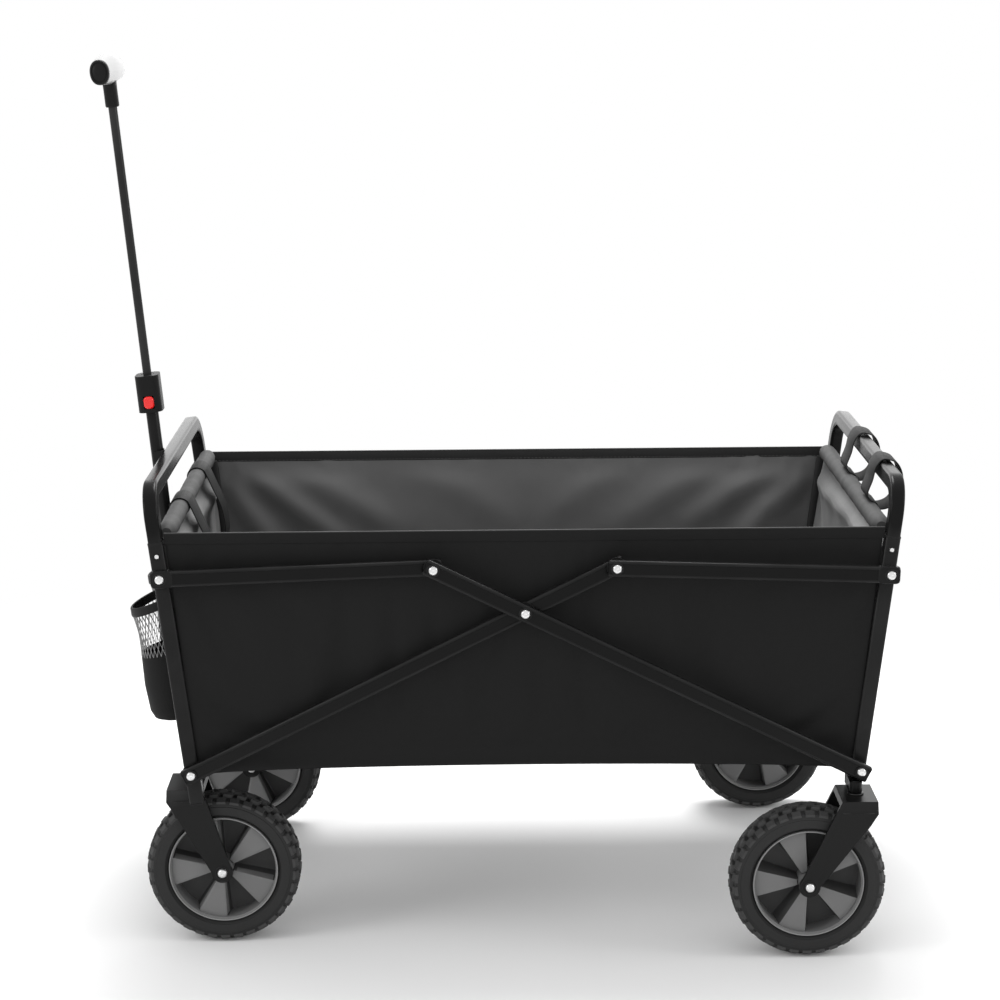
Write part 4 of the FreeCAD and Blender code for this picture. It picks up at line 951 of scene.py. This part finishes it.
# Folds of a side panel: (x from the middle, below the rim) points, width and height.
SIDE_FOLDS = (
    (((0.225, 0.115), (0.300, 0.060), (0.395, 0.012)), 0.020, 6.5),
    (((0.300, 0.150), (0.345, 0.085), (0.410, 0.035)), 0.018, 7.0),
    (((0.120, 0.120), (0.200, 0.065), (0.290, 0.015)), 0.024, 4.5),
    (((0.020, 0.110), (0.090, 0.060), (0.150, 0.020)), 0.022, 3.0),
    (((-0.390, 0.012), (-0.310, 0.075), (-0.215, 0.150)), 0.018, 6.5),
    (((-0.340, 0.010), (-0.240, 0.065), (-0.150, 0.120)), 0.022, 5.0),
    (((-0.405, 0.040), (-0.355, 0.110), (-0.310, 0.200)), 0.016, 5.0),
    (((-0.160, 0.020), (-0.070, 0.060), (0.010, 0.110)), 0.024, 3.0),
    (((0.380, 0.080), (0.340, 0.160), (0.250, 0.240)), 0.020, 4.0),
    (((-0.250, 0.190), (0.000, 0.215), (0.250, 0.195)), 0.030, 4.0),
)


def grid(columns, rows, where):
    """A sheet of quads: where(u, v) gives a point, and the UV map is in metres along the sheet."""
    bm = bmesh.new()
    lines = [ring(bm, [where(i / columns, j / rows) for i in range(columns + 1)]) for j in range(rows + 1)]
    for first, second in zip(lines, lines[1:]):
        bridge(bm, first, second, closed=False)
    uv = bm.loops.layers.uv.new("cloth")
    wide = (lines[0][-1].co - lines[0][0].co).length
    tall = (lines[-1][0].co - lines[0][0].co).length
    place = {}
    for j, line in enumerate(lines):
        for i, vert in enumerate(line):
            place[vert] = (wide * i / columns, tall * j / rows)
    for face in bm.faces:
        for loop in face.loops:
            loop[uv].uv = place[loop.vert]
    return bm


def unwrapped(bm, across, up):
    """Gives a swept or lofted mesh a UV map in metres from two directions."""
    uv = bm.loops.layers.uv.verify()
    for face in bm.faces:
        for loop in face.loops:
            loop[uv].uv = (loop.vert.co.dot(across), loop.vert.co.dot(up))
    return bm


def settle(thing, pinned, shrink=-0.012, frames=22, cap=7 * MM, steady=None):
    """Lets slack cloth buckle between its pinned edges, and caps how far a point may move."""
    rest = [v.co.copy() for v in thing.data.vertices]
    pins = thing.vertex_groups.new(name="held")
    pins.add([i for i, co in enumerate(rest) if pinned(co)], 1.0, "REPLACE")
    cloth = thing.modifiers.new("cloth", "CLOTH")
    cloth.settings.vertex_group_mass = "held"
    cloth.settings.quality = 6
    cloth.settings.mass = 0.25
    cloth.settings.tension_stiffness = 40
    cloth.settings.compression_stiffness = 40
    cloth.settings.bending_stiffness = 0.6
    cloth.settings.shrink_min = shrink
    cloth.settings.effector_weights.gravity = 0.35
    cloth.collision_settings.use_collision = False
    scene = bpy.context.scene
    for number in range(1, frames + 1):
        scene.frame_set(number)
    shape = thing.evaluated_get(bpy.context.evaluated_depsgraph_get())
    moved = [v.co.copy() for v in shape.data.vertices]
    thing.modifiers.clear()
    scene.frame_set(1)
    for vert, start, end in zip(thing.data.vertices, rest, moved):
        step = end - start
        if step.length > cap:
            step *= cap / step.length
        if steady:
            step = steady(step)
        vert.co = start + step
    thing.vertex_groups.clear()
    return thing


def thickened(thing, thickness, inside=None):
    """Gives a sheet its thickness, and its inner face a material of its own."""
    wall = thing.modifiers.new("wall", "SOLIDIFY")
    wall.thickness = thickness
    wall.offset = 0
    if inside is not None:
        wall.material_offset = 1
        wall.material_offset_rim = 0
    smooth = thing.modifiers.new("smooth", "SUBSURF")
    smooth.levels = 1
    smooth.render_levels = 1
    return baked(thing)


def side_outline(node):
    """The four corners of a side panel in X and Z, and its two faces in Y."""
    points = points_of(node)
    low, high = points.min(0), points.max(0)
    foot = points[points[:, 2] < low[2] + MM]
    rim = points[points[:, 2] > high[2] - MM]
    return (foot[:, 0].min(), foot[:, 0].max()), (rim[:, 0].min(), rim[:, 0].max()), low, high


FOLD_GAIN = {-1: 0.45, 1: 1.7}
CORNER = 4 * MM
LIFT = 11 * MM
END_SLOPE = 0.118


def cradle(u, v):
    """How far the basket's floor curves up toward the side panels."""
    return LIFT * math.sin(math.pi * u) ** 0.4 * max(0.0, (abs(2 * v - 1) - 0.80) / 0.20)


def side_panel(side, word):
    """A side panel that hangs between the end panels, with soft diagonal folds."""
    node = f"side_panel_{word}"
    foot, rim, low, high = side_outline(node)
    face = side * (abs(low[1]) + abs(high[1])) / 2
    middle = (rim[0] + rim[1]) / 2

    def where(u, v):
        """A point of the panel, from end to end and from foot to rim."""
        rise = v
        reach = CORNER + 3.5 * MM * min(1.0, (1 - rise) * 1.6)
        start = foot[0] + (rim[0] - foot[0]) * rise - reach
        end = foot[1] + (rim[1] - foot[1]) * rise + reach
        foot_z = low[2] + LIFT * math.sin(math.pi * u) ** 0.4
        x, z = start + (end - start) * u, foot_z + (high[2] - foot_z) * rise
        fold = sum(ridge(x - middle, high[2] - z, line, width, height * MM)
                   for line, width, height in SIDE_FOLDS)
        hem = min(1.0, max(0.0, (high[2] - z - 14 * MM) / (34 * MM)))
        edge = min(1.0, min(u, 1 - u) * 30) * hem * hem * (3 - 2 * hem) * min(1.0, v * 14)
        ripple = 1.6 * MM * noise.noise(Vector((x * 9, z * 14, side * 3.0)))
        return Vector((x, face - side * (FOLD_GAIN[side] * fold + ripple + 1.2 * MM) * edge, z))

    thing = piece(f"{node}_cloth", grid(110, 36, where), [OUTER_CLOTH, LINING], None)
    def held(co):
        """True near the rim, the foot and the two slanted ends."""
        slant = (co.z - low[2]) * END_SLOPE
        return (co.z > high[2] - 16 * MM or co.z < low[2] + LIFT + 4 * MM
                or co.x < foot[0] + 1 * MM - slant or co.x > foot[1] - 1 * MM + slant)

    def outward(step):
        """Cloth may move away from the basket's middle, and hardly any other way."""
        return Vector((step.x * 0.3, step.y if step.y * side < 0 else step.y * 0.25, step.z * 0.3))

    settle(thing, held, steady=outward)
    if side > 0:
        thing.data.flip_normals()
    thickened(thing, CLOTH, LINING)
    bind(thing, "front_frame", (node,))
    crumples(thing)
    sewn = []
    run = [Vector((rim[0] - CORNER + (rim[1] - rim[0] + 2 * CORNER) * i / 60, face, 0)) for i in range(61)]
    bands = [("hem", high[2] - 6.5 * MM, 13.5 * MM, 2.6 * MM, OUTER_CLOTH if side < 0 else BINDING),
             ("piping", high[2] + 0.2 * MM, 1.5 * MM, 3.2 * MM, BINDING)]
    for label, z, tall, thick, material in bands:
        band = sweep([point + Z_AXIS * z for point in run], round_box(tall, thick, 0.7 * MM, 3), Z_AXIS)
        sewn.append(piece(f"{node}_{label}", unwrapped(band, X_AXIS, Z_AXIS), material, "front_frame"))
    seam = [(Vector((rim[0] + 6 * MM + (rim[1] - rim[0] - 12 * MM) * i / 160, face - side * 1.6 * MM,
                     high[2] - 11.5 * MM)), (0, 0, 0)) for i in range(161)]
    stitch = unwrapped(lathe([(0, -1.6 * MM), (0.35 * MM, -1.2 * MM), (0.35 * MM, 1.2 * MM), (0, 1.6 * MM)],
                             6,
                             Matrix.Rotation(math.radians(90), 4, "Y")), X_AXIS, Z_AXIS)
    sewn.append(copies(f"{node}_stitches", stitch, seam, THREAD, "front_frame"))
    for part in sewn:
        crumples(part)


for side, word in SIDES:
    side_panel(side, word)


def end_panel(end, place, body, inward):
    """An end panel of soft cloth with a fat rolled sleeve along its top."""
    node = f"{end}_panel"
    low, high = box_in(node, place)
    points = points_of(node, place)
    top = points[points[:, 2] > high.z - 2 * MM]
    plate = points[points[:, 2] < high.z - 60 * MM]
    face = (plate[:, 0].min() + plate[:, 0].max()) / 2
    radius = (high.x - low.x) / 2
    half = top[:, 1].max()
    roll_z = high.z - radius
    rim_z = roll_z - 1 * MM

    def where(u, v):
        """A point of the panel, from side to side and from foot to rim."""
        y = (low.y + (high.y - low.y) * u) * (1.0 + 0.008 * (1 - v))
        corner_drop = 9 * MM * max(0.0, abs(2 * u - 1) - 0.94) / 0.06
        z = low.z + (rim_z - corner_drop - low.z) * v
        edge = min(1.0, min(u, 1 - u) * 16) * min(1.0, (1 - v) * 10) * min(1.0, v * 10)
        roll = 12 * MM * math.exp(-((z - rim_z + 34 * MM - 5 * MM * math.sin(5 * u)) / (13 * MM)) ** 2)
        slump = 6.0 * MM * math.sin(math.pi * u) * math.sin(math.pi * v) ** 0.7
        ripple = 5.0 * MM * noise.noise(Vector((y * 11 + z * 4, z * 9 - y * 3, 5.0 * inward)))
        return Vector((face + inward * (roll + slump * 0.6 + ripple) * edge, y, z))

    thing = piece(f"{node}_cloth", grid(70, 44, where), [OUTER_CLOTH, LINING], None)
    settle(thing, lambda co: co.z > rim_z - 14 * MM or co.z < low.z + 4 * MM or abs(co.y) > high.y - 4 * MM,
           cap=5 * MM, steady=lambda step: Vector((step.x if step.x * inward > 0 else 0.2 * step.x,
                                                   step.y * 0.3, step.z * 0.3)))
    if inward > 0:
        thing.data.flip_normals()
    thickened(thing, CLOTH, LINING)
    thing.data.transform(place)
    bind(thing, body, (node,))
    steps = 90
    middle_x = (low.x + high.x) / 2
    roll = [Vector((middle_x + 0.9 * MM * noise.noise(Vector((i * 0.22, 1, inward))),
                    -half + 2 * half * i / steps,
                    roll_z + 1.0 * MM * noise.noise(Vector((i * 0.15, 7, inward)))))
            for i in range(steps + 1)]
    puff = []
    for i in range(steps + 1):
        away = min(i, steps - i)
        swell = 1.0 + 0.06 * noise.noise(Vector((i * 0.3, 3, inward)))
        puff.append((0.55, 0.86, 0.96)[away] if away < 3 else swell)
    tube = sweep(roll, oval(2 * radius, 2 * radius, 2.1, 26), X_AXIS, sizes=puff)
    sleeve = piece(f"{node}_sleeve", unwrapped(tube, Y_AXIS, Z_AXIS), SLEEVE, body, (), place)
    inner_face = max(abs(plate[:, 0].min()), abs(plate[:, 0].max())) * inward
    for side, word in SIDES:
        edge_y = side * (high.y - 1 * MM)
        line = [Vector((inner_face + inward * 2 * MM, edge_y - side * 2 * MM,
                        low.z + (rim_z - 9 * MM - low.z) * i / 24))
                for i in range(25)]
        strip = sweep(line, oval(12 * MM, 7 * MM, 2.4, 14), X_AXIS)
        piece(f"{end}_corner_binding_{word}", unwrapped(strip, Z_AXIS, Y_AXIS), BINDING, body,
                          (), place)
    return middle_x, roll_z, radius


FRONT_SLEEVE = end_panel("front", FRONT, "front_frame", 1)
REAR_SLEEVE = end_panel("rear", REAR, "rear_frame", -1)


def floor_pieces():
    """The sling under the basket and the folding pad on it."""
    low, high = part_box("floor_sling")

    def where(u, v):
        """A point of the sling, from end to end and from side to side."""
        x, y = low.x + (high.x - low.x) * u, low.y + (high.y - low.y) * v
        edge = min(1.0, min(u, 1 - u) * 18, min(v, 1 - v) * 18)
        sag = 2.2 * MM * noise.noise(Vector((x * 8, y * 8, 9.0)))
        return Vector((x, y, low.z + 1.6 * MM + sag * edge * 0.5 + cradle(u, v)))

    sling = piece("floor_sling_cloth", grid(90, 54, where), [OUTER_CLOTH, LINING], None)
    thickened(sling, CLOTH)
    bind(sling, "front_frame", ("floor_sling",))
    crumples(sling)
    pad_low, pad_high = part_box("floor_pad")
    leaves = 4
    bm = bmesh.new()
    columns, rows, thick = 96, 48, pad_high.z - pad_low.z
    loops = {}
    for skin in (-1, 1):
        for i in range(columns + 1):
            for j in range(rows + 1):
                u, v = i / columns, j / rows
                leaf = (u * leaves) % 1.0 if 0 < i < columns else 0.0
                pinch = min(1.0, (math.sin(math.pi * leaf) * 3.2) if 0 < i < columns else 0.0) ** 0.5
                rim = min(1.0, min(v, 1 - v) * 22) ** 0.5
                half = thick / 2 * (0.22 + 0.78 * pinch * rim)
                soft = 0.5 * MM * noise.noise(Vector((u * 22, v * 12, skin * 2.0))) * pinch * rim
                loops[skin, i, j] = bm.verts.new((
                    pad_low.x + (pad_high.x - pad_low.x) * u, pad_low.y + (pad_high.y - pad_low.y) * v,
                    (pad_low.z + pad_high.z) / 2 + skin * half + soft + cradle(u, 0.5 + (v - 0.5) * 0.96)))
    for skin in (-1, 1):
        for i in range(columns):
            for j in range(rows):
                bm.faces.new([loops[skin, a, b] for a, b in ((i, j), (i + 1, j), (i + 1, j + 1), (i, j + 1))])
    border = ([(i, 0) for i in range(columns)] + [(columns, j) for j in range(rows)]
              + [(i, rows) for i in range(columns, 0, -1)] + [(0, j) for j in range(rows, 0, -1)])
    for (a, b), (c, d) in zip(border, border[1:] + border[:1]):
        bm.faces.new((loops[-1, a, b], loops[-1, c, d], loops[1, c, d], loops[1, a, b]))
    pad = piece("floor_pad_quilt", unwrapped(solid(bm), X_AXIS, Y_AXIS), PAD_CLOTH, "front_frame",
                ("floor_pad",))
    crumples(pad)


floor_pieces()

# ---------------------------------------------------------------- webbing straps

STRAP_WIDE, STRAP_THICK = 46 * MM, 1.6 * MM


def smooth_run(points, steps=8):
    """A smooth line through given points."""
    line = []
    ends = [points[0]] + list(points) + [points[-1]]
    for a, b, c, d in zip(ends, ends[1:], ends[2:], ends[3:]):
        for i in range(steps):
            t = i / steps
            line.append(0.5 * ((2 * b) + (c - a) * t + (2 * a - 5 * b + 4 * c - d) * t * t
                               + (3 * b - a - 3 * c + d) * t ** 3))
    return line + [points[-1]]


def strap(name, points, y, place, body, closed=False):
    """A webbing band along a line of (x, z) points."""
    line = smooth_run([Vector((x, y, z)) for x, z in points])
    if closed:
        line = line[:-1]
    bm = sweep(line, round_box(STRAP_WIDE, STRAP_THICK, 0.6 * MM, 2), Y_AXIS, closed=closed)
    uv = bm.loops.layers.uv.verify()
    for face in bm.faces:
        for loop in face.loops:
            loop[uv].uv = (loop.vert.co.y, loop.vert.co.z + loop.vert.co.x)
    length = sum((b - a).length for a, b in zip(line, line[1:] + (line[:1] if closed else [])))
    thing = piece(name, bm, WEBBING, body, (), place)
    return thing


def strap_middles(node, place):
    """The sideways middles of a node's two straps."""
    y = np.sort(points_of(node, place)[:, 1])
    gap = int(np.argmax(np.diff(y)))
    return [(y[0] + y[gap]) / 2, (y[gap + 1] + y[-1]) / 2]


def front_straps():
    """Two bands over the front sleeve that curve down inside the front panel."""
    middle, roll_z, radius = FRONT_SLEEVE
    around = radius + 1.6 * MM
    for number, y in enumerate(strap_middles("front_straps", FRONT)):
        points = [(middle - around, roll_z - 14 * MM)]
        points += [(middle - around * math.cos(math.radians(a)), roll_z + around * math.sin(math.radians(a)))
                   for a in (0, 35, 70, 105, 140, 165)]
        points += [(middle + around + 6 * MM, roll_z - 18 * MM),
                   (middle + around + 14 * MM, roll_z - 48 * MM),
                   (middle + around + 14 * MM, roll_z - 82 * MM),
                   (middle + around + 4 * MM, roll_z - 114 * MM)]
        thing = strap(f"front_strap_{number + 1}", points, y, FRONT, "front_frame")
        if number == 0:
            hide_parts("front_straps")


def rear_straps():
    """Two slack loops round the bow, sewn to the top of the rear sleeve."""
    middle, roll_z, radius = REAR_SLEEVE
    bow_low, bow_high = box_in("rear_bow", REAR)
    half = (bow_high.x - bow_low.x) / 2 + 3.2 * MM
    top, foot = bow_high.z + 2.2 * MM, roll_z + radius
    for number, y in enumerate(strap_middles("rear_straps", REAR)):
        points = [(middle - 1 * MM, foot + 1.5 * MM), (middle - 6 * MM, foot + 9 * MM),
                  (-half - 3 * MM, top - 26 * MM),
                  (-half - 1 * MM, top - 10 * MM), (-half * 0.55, top + 0.5 * MM),
                  (half * 0.2, top + 1.5 * MM),
                  (half + 1 * MM, top - 2 * MM), (half + 9 * MM, top - 15 * MM),
                  (half + 11 * MM, top - 34 * MM),
                  (half + 3 * MM, foot - 1 * MM), (0, foot - 8 * MM), (middle + 7 * MM, foot - 1 * MM)]
        thing = strap(f"rear_strap_{number + 1}", points, y, REAR, "rear_frame", closed=True)
        if number == 0:
            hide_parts("rear_straps")


front_straps()
rear_straps()

# ---------------------------------------------------------------- cup pockets


def cup_pocket(side, word):
    """An elastic-rimmed pocket: a net upper that narrows at its waist, and a cloth lower part."""
    points = points_of("cup_holders", FRONT)
    mine = points[points[:, 1] * side > 0]
    low, high = Vector(mine.min(0)), Vector(mine.max(0))
    centre = (low + high) / 2
    radius = (high.y - low.y) / 2
    wall = high.x
    count = 36
    droop = 0.30

    def sag(point, share):
        """Lowers a point by how far it stands off the panel."""
        return point - Z_AXIS * (wall - point.x) * droop * share

    def hoop(z, size, reach=1.0):
        """A loop round the pocket, flat where it lies on the panel."""
        loop = []
        for i in range(count):
            angle = math.tau * i / count
            x = centre.x + radius * size * math.cos(angle) * (reach if math.cos(angle) < 0 else 1.0)
            loop.append(Vector((min(x, wall), centre.y + radius * size * math.sin(angle), z)))
        return loop

    tall = high.z - low.z
    lower = bmesh.new()
    skins = []
    for inset in (0.0, 1.2 * MM):
        levels = ((0.00, 0.62), (0.02, 0.80), (0.08, 0.90), (0.30, 0.95), (0.57, 0.90))
        skins.append([ring(lower, [sag(point, v * 0.8) for point in
                                   hoop(low.z + tall * v + (inset if v == 0 else 0), size - inset / radius)])
                      for v, size in levels])
    for loops in skins:
        for first, second in zip(loops, loops[1:]):
            bridge(lower, first, second)
        lower.faces.new(loops[0])
    bridge(lower, skins[0][-1], skins[1][-1])
    base = piece(f"cup_pocket_{word}", unwrapped(solid(lower), Y_AXIS, Z_AXIS), OUTER_CLOTH, "front_frame",
                 ("cup_holders",) if side < 0 else (), FRONT)
    strands = []
    turns, rows = 40, 10
    rim_z, waist_z = high.z - 8 * MM, low.z + tall * 0.55
    for lean in (-1, 1):
        for i in range(turns):
            line = []
            for j in range(rows + 1):
                v = j / rows
                z = waist_z + (rim_z - waist_z) * v
                size = 0.90 - 0.06 * math.sin(math.pi * v) + 0.08 * v
                angle = math.tau * (i + lean * v * 3.2) / turns
                x = min(centre.x + radius * size * math.cos(angle), wall)
                line.append(sag(Vector((x, centre.y + radius * size * math.sin(angle), z)), 0.45 + 0.55 * v))
            strands.append(sweep(line, oval(1.0 * MM, 1.0 * MM, 2.0, 5),
                                 Z_AXIS.cross(line[0] - centre).normalized()))
    net = unwrapped(merged(*strands), Y_AXIS, Z_AXIS)
    mesh = piece(f"cup_net_{word}", net, NET, "front_frame", (), FRONT)
    rim_line = hoop(high.z - 5 * MM, 0.97)
    tilt = [sag(point, 1.0) for point in rim_line]
    band = sweep(tilt, round_box(12 * MM, 3.2 * MM, 1.4 * MM, 3), Z_AXIS, closed=True)
    rim = piece(f"cup_rim_{word}", unwrapped(band, Y_AXIS, Z_AXIS), ELASTIC, "front_frame", (),
                FRONT)


for side, word in SIDES:
    cup_pocket(side, word)

# ---------------------------------------------------------------- handle


def handle():
    """The lower tube, its collar, the sliding rod, the neck and the grip."""
    low, high = box_in("handle_lower_tube", HANDLE)
    radius = high.y
    profile = [(0, low.z), (radius * 0.8, low.z), (radius, low.z + 2 * MM), (radius, high.z - 2 * MM),
               (radius * 0.94, high.z - 0.5 * MM), (radius * 0.72, high.z), (0, high.z)]
    piece("handle_lower_tube_drawn", lathe(profile, 32), FRAME_BLACK, "handle_lower",
          ("handle_lower_tube",), HANDLE)
    softened("handle_collar_moulded", "handle_collar", PLASTIC, "handle_lower", 1.6 * MM, 3)
    low, high = box_in("handle_upper_rod", HANDLE)
    rod = high.y
    piece("handle_rod_drawn", lathe([(0, low.z), (rod, low.z), (rod, high.z), (0, high.z)], 28), ROD_BLACK,
          "handle_upper", ("handle_upper_rod",), HANDLE)
    low, high = box_in("handle_grip", HANDLE)
    swell = (high.x - low.x) / 2
    axis_z, half = high.z - swell, high.y
    end = 15.2 * MM
    shape = oval(23.6 * MM, 2 * end, 2.2, 40)

    def arch(t):
        """How far the grip's back rises above its ends."""
        return (swell + 2 * MM - end) * math.cos(t * math.pi / 2) ** 1.1

    bm = bmesh.new()
    loops = []
    for i in range(41):
        t = -1 + 2 * i / 40
        size = 1.0 + 0.10 * math.cos(t * math.pi / 2) - 0.05 * max(0.0, t) ** 2
        loops.append(ring(bm, [(a * size, t * (half - 7 * MM),
                                axis_z - 1 * MM + b * size * (1 - 0.06 * max(0.0, t))
                                + (arch(t) if b > 0 else 0) * (b / end if b > 0 else 0)) for a, b in shape]))
    for first, second in zip(loops, loops[1:]):
        bridge(bm, first, second)
    bm.faces.new(loops[0])
    bm.faces.new(loops[-1])
    piece("grip_body", solid(bm), GRIP_SKIN, "handle_upper", ("handle_grip",), HANDLE)
    caps = []
    for side in (-1, 1):
        stops = ((half - 10 * MM, 0.94), (half - 8 * MM, 1.0), (half - 3.2 * MM, 1.0),
                 (half - 1.2 * MM, 0.95),
                 (half - 0.4 * MM, 0.84), (half - 1.6 * MM, 0.74), (half - 0.6 * MM, 0.58), (half, 0.34))
        run = [Vector((0, side * y, axis_z - 1 * MM)) for y, _ in stops]
        bm = bmesh.new()
        fit = 1.0 if side < 0 else 0.90
        rings = [ring(bm, [centre + Vector((a * size * fit, 0, b * size * fit)) for a, b in shape])
                 for centre, (_, size) in zip(run, stops)]
        for first, second in zip(rings, rings[1:]):
            bridge(bm, first, second)
        bm.faces.new(rings[0])
        bm.faces.new(rings[-1])
        caps.append(solid(bm))
    piece("grip_caps", merged(*caps), PLASTIC, "handle_upper", (), HANDLE)
    neck = []
    for z, wide, deep in ((low.z, 15, 15), (low.z + 1.5 * MM, 17, 17), (low.z + 22 * MM, 17, 18),
                          (low.z + 30 * MM, 17, 26), (axis_z - 8 * MM, 19, 42), (axis_z - 1 * MM, 25.4, 20)):
        neck.append((z, wide * MM, deep * MM))
    bm = bmesh.new()
    rings = [ring(bm, [(a, b, z) for a, b in oval(wide, deep, 2.4, 28)]) for z, wide, deep in neck]
    for first, second in zip(rings, rings[1:]):
        bridge(bm, first, second)
    bm.faces.new(rings[0])
    bm.faces.new(rings[-1])
    piece("grip_neck", solid(bm), PLASTIC, "handle_upper", (), HANDLE)
    low, high = box_in("release_button", HANDLE)
    middle = (low + high) / 2
    face = round_box(high.x - low.x, high.z - low.z, 5 * MM, 6)
    stops = ((high.y, 1.0), (low.y + 2.0 * MM, 1.0), (low.y + 0.8 * MM, 0.94), (low.y, 0.80),
             (low.y + 0.3 * MM, 0.3))
    bm = bmesh.new()
    rings = [ring(bm, [(middle.x + a * size, y, middle.z + b * size) for a, b in face]) for y, size in stops]
    for first, second in zip(rings, rings[1:]):
        bridge(bm, first, second)
    bm.faces.new(rings[0])
    bm.faces.new(rings[-1])
    piece("release_button_cap", solid(bm), RED, "button", ("release_button",), HANDLE)


handle()
softened("handle_bracket_pressed", "handle_bracket", FRAME_BLACK, "front_frame", 0.8 * MM)
softened("handle_clip_moulded", "handle_clip", PLASTIC, "front_frame", 0.8 * MM)
softened("handle_pin_turned", "handle_pivot_pin", ZINC, "front_frame", 0.5 * MM)
softened("button_spring_coil", "button_spring", ZINC, "handle_lower", 0.3 * MM)

# ---------------------------------------------------------------- floor, light and camera


FLOOR, ROOM = 0.86, 1.0
FADE = (0.75, 1.7)


def studio():
    """A pale floor, soft lights and a white room."""
    scene = bpy.context.scene
    scene.view_settings.view_transform = "Standard"
    world = bpy.data.worlds.new("room")
    scene.world = world
    world.use_nodes = True
    world.node_tree.nodes["Background"].inputs["Color"].default_value = grey(ROOM)
    world.node_tree.nodes["Background"].inputs["Strength"].default_value = 1.0
    bm = bmesh.new()
    bmesh.ops.create_grid(bm, x_segments=2, y_segments=2, size=12)
    mesh = bpy.data.meshes.new("floor")
    bm.to_mesh(mesh)
    bm.free()
    floor = bpy.data.objects.new("floor", mesh)
    scene.collection.objects.link(floor)
    paint = bpy.data.materials.new("pale_floor")
    paint.use_nodes = True
    tree = paint.node_tree
    bsdf = tree.nodes["Principled BSDF"]
    bsdf.inputs["Roughness"].default_value = 0.8
    bsdf.inputs["Specular IOR Level"].default_value = 0.0
    bsdf.inputs["Emission Strength"].default_value = 1.0
    place = tree.nodes.new("ShaderNodeTexCoord")
    reach = tree.nodes.new("ShaderNodeVectorMath")
    reach.operation = "LENGTH"
    tree.links.new(place.outputs["Object"], reach.inputs[0])
    fade = tree.nodes.new("ShaderNodeMapRange")
    fade.interpolation_type = "SMOOTHSTEP"
    fade.inputs["From Min"].default_value = FADE[0]
    fade.inputs["From Max"].default_value = FADE[1]
    tree.links.new(reach.outputs["Value"], fade.inputs["Value"])
    for socket, near, far in (("Base Color", grey(FLOOR), grey(0.0)),
                              ("Emission Color", grey(0.0), grey(ROOM))):
        blend = mix_colour(tree, fade.outputs["Result"], near, far)
        tree.links.new(blend, bsdf.inputs[socket])
    mesh.materials.append(paint)
    for name, spot_at, aim, size, power in (
            ("top", (0.1, 0.9, 2.6), (0, 0, 0.3), 1.3, 60), ("left", (-2.4, -1.2, 1.6), (0, 0, 0.4), 1.0, 16),
            ("right", (2.6, -0.6, 1.4), (0, 0, 0.4), 0.9, 12),
            ("back", (0.0, 3.4, 1.5), (0, 0, 0.5), 3.0, 30)):
        data = bpy.data.lights.new(name, "AREA")
        data.shape = "SQUARE"
        data.size = size
        data.energy = power
        lamp = bpy.data.objects.new(name, data)
        lamp.visible_camera = False
        scene.collection.objects.link(lamp)
        lamp.location = spot_at
        lamp.rotation_mode = "QUATERNION"
        lamp.rotation_quaternion = (Vector(aim) - Vector(spot_at)).to_track_quat("-Z", "Y")


def camera():
    """A long lens a little above and in front of the near side."""
    data = bpy.data.cameras.new("camera")
    data.sensor_width = 36
    data.lens = 83.78
    eye = bpy.data.objects.new("camera", data)
    bpy.context.scene.collection.objects.link(eye)
    yaw, pitch, roll = (math.radians(value) for value in (0.546, 12.818, -0.397))
    ahead = Vector((math.sin(yaw) * math.cos(pitch), math.cos(yaw) * math.cos(pitch), -math.sin(pitch)))
    right = Vector((math.cos(yaw), -math.sin(yaw), 0))
    up = right.cross(ahead)
    across = right * math.cos(roll) + up * math.sin(roll)
    over = up * math.cos(roll) - right * math.sin(roll)
    turn = Matrix((across, over, -ahead)).transposed().to_4x4()
    eye.matrix_world = Matrix.Translation((-0.0195, -2.9260, 1.1787)) @ turn
    bpy.context.scene.camera = eye


studio()
camera()
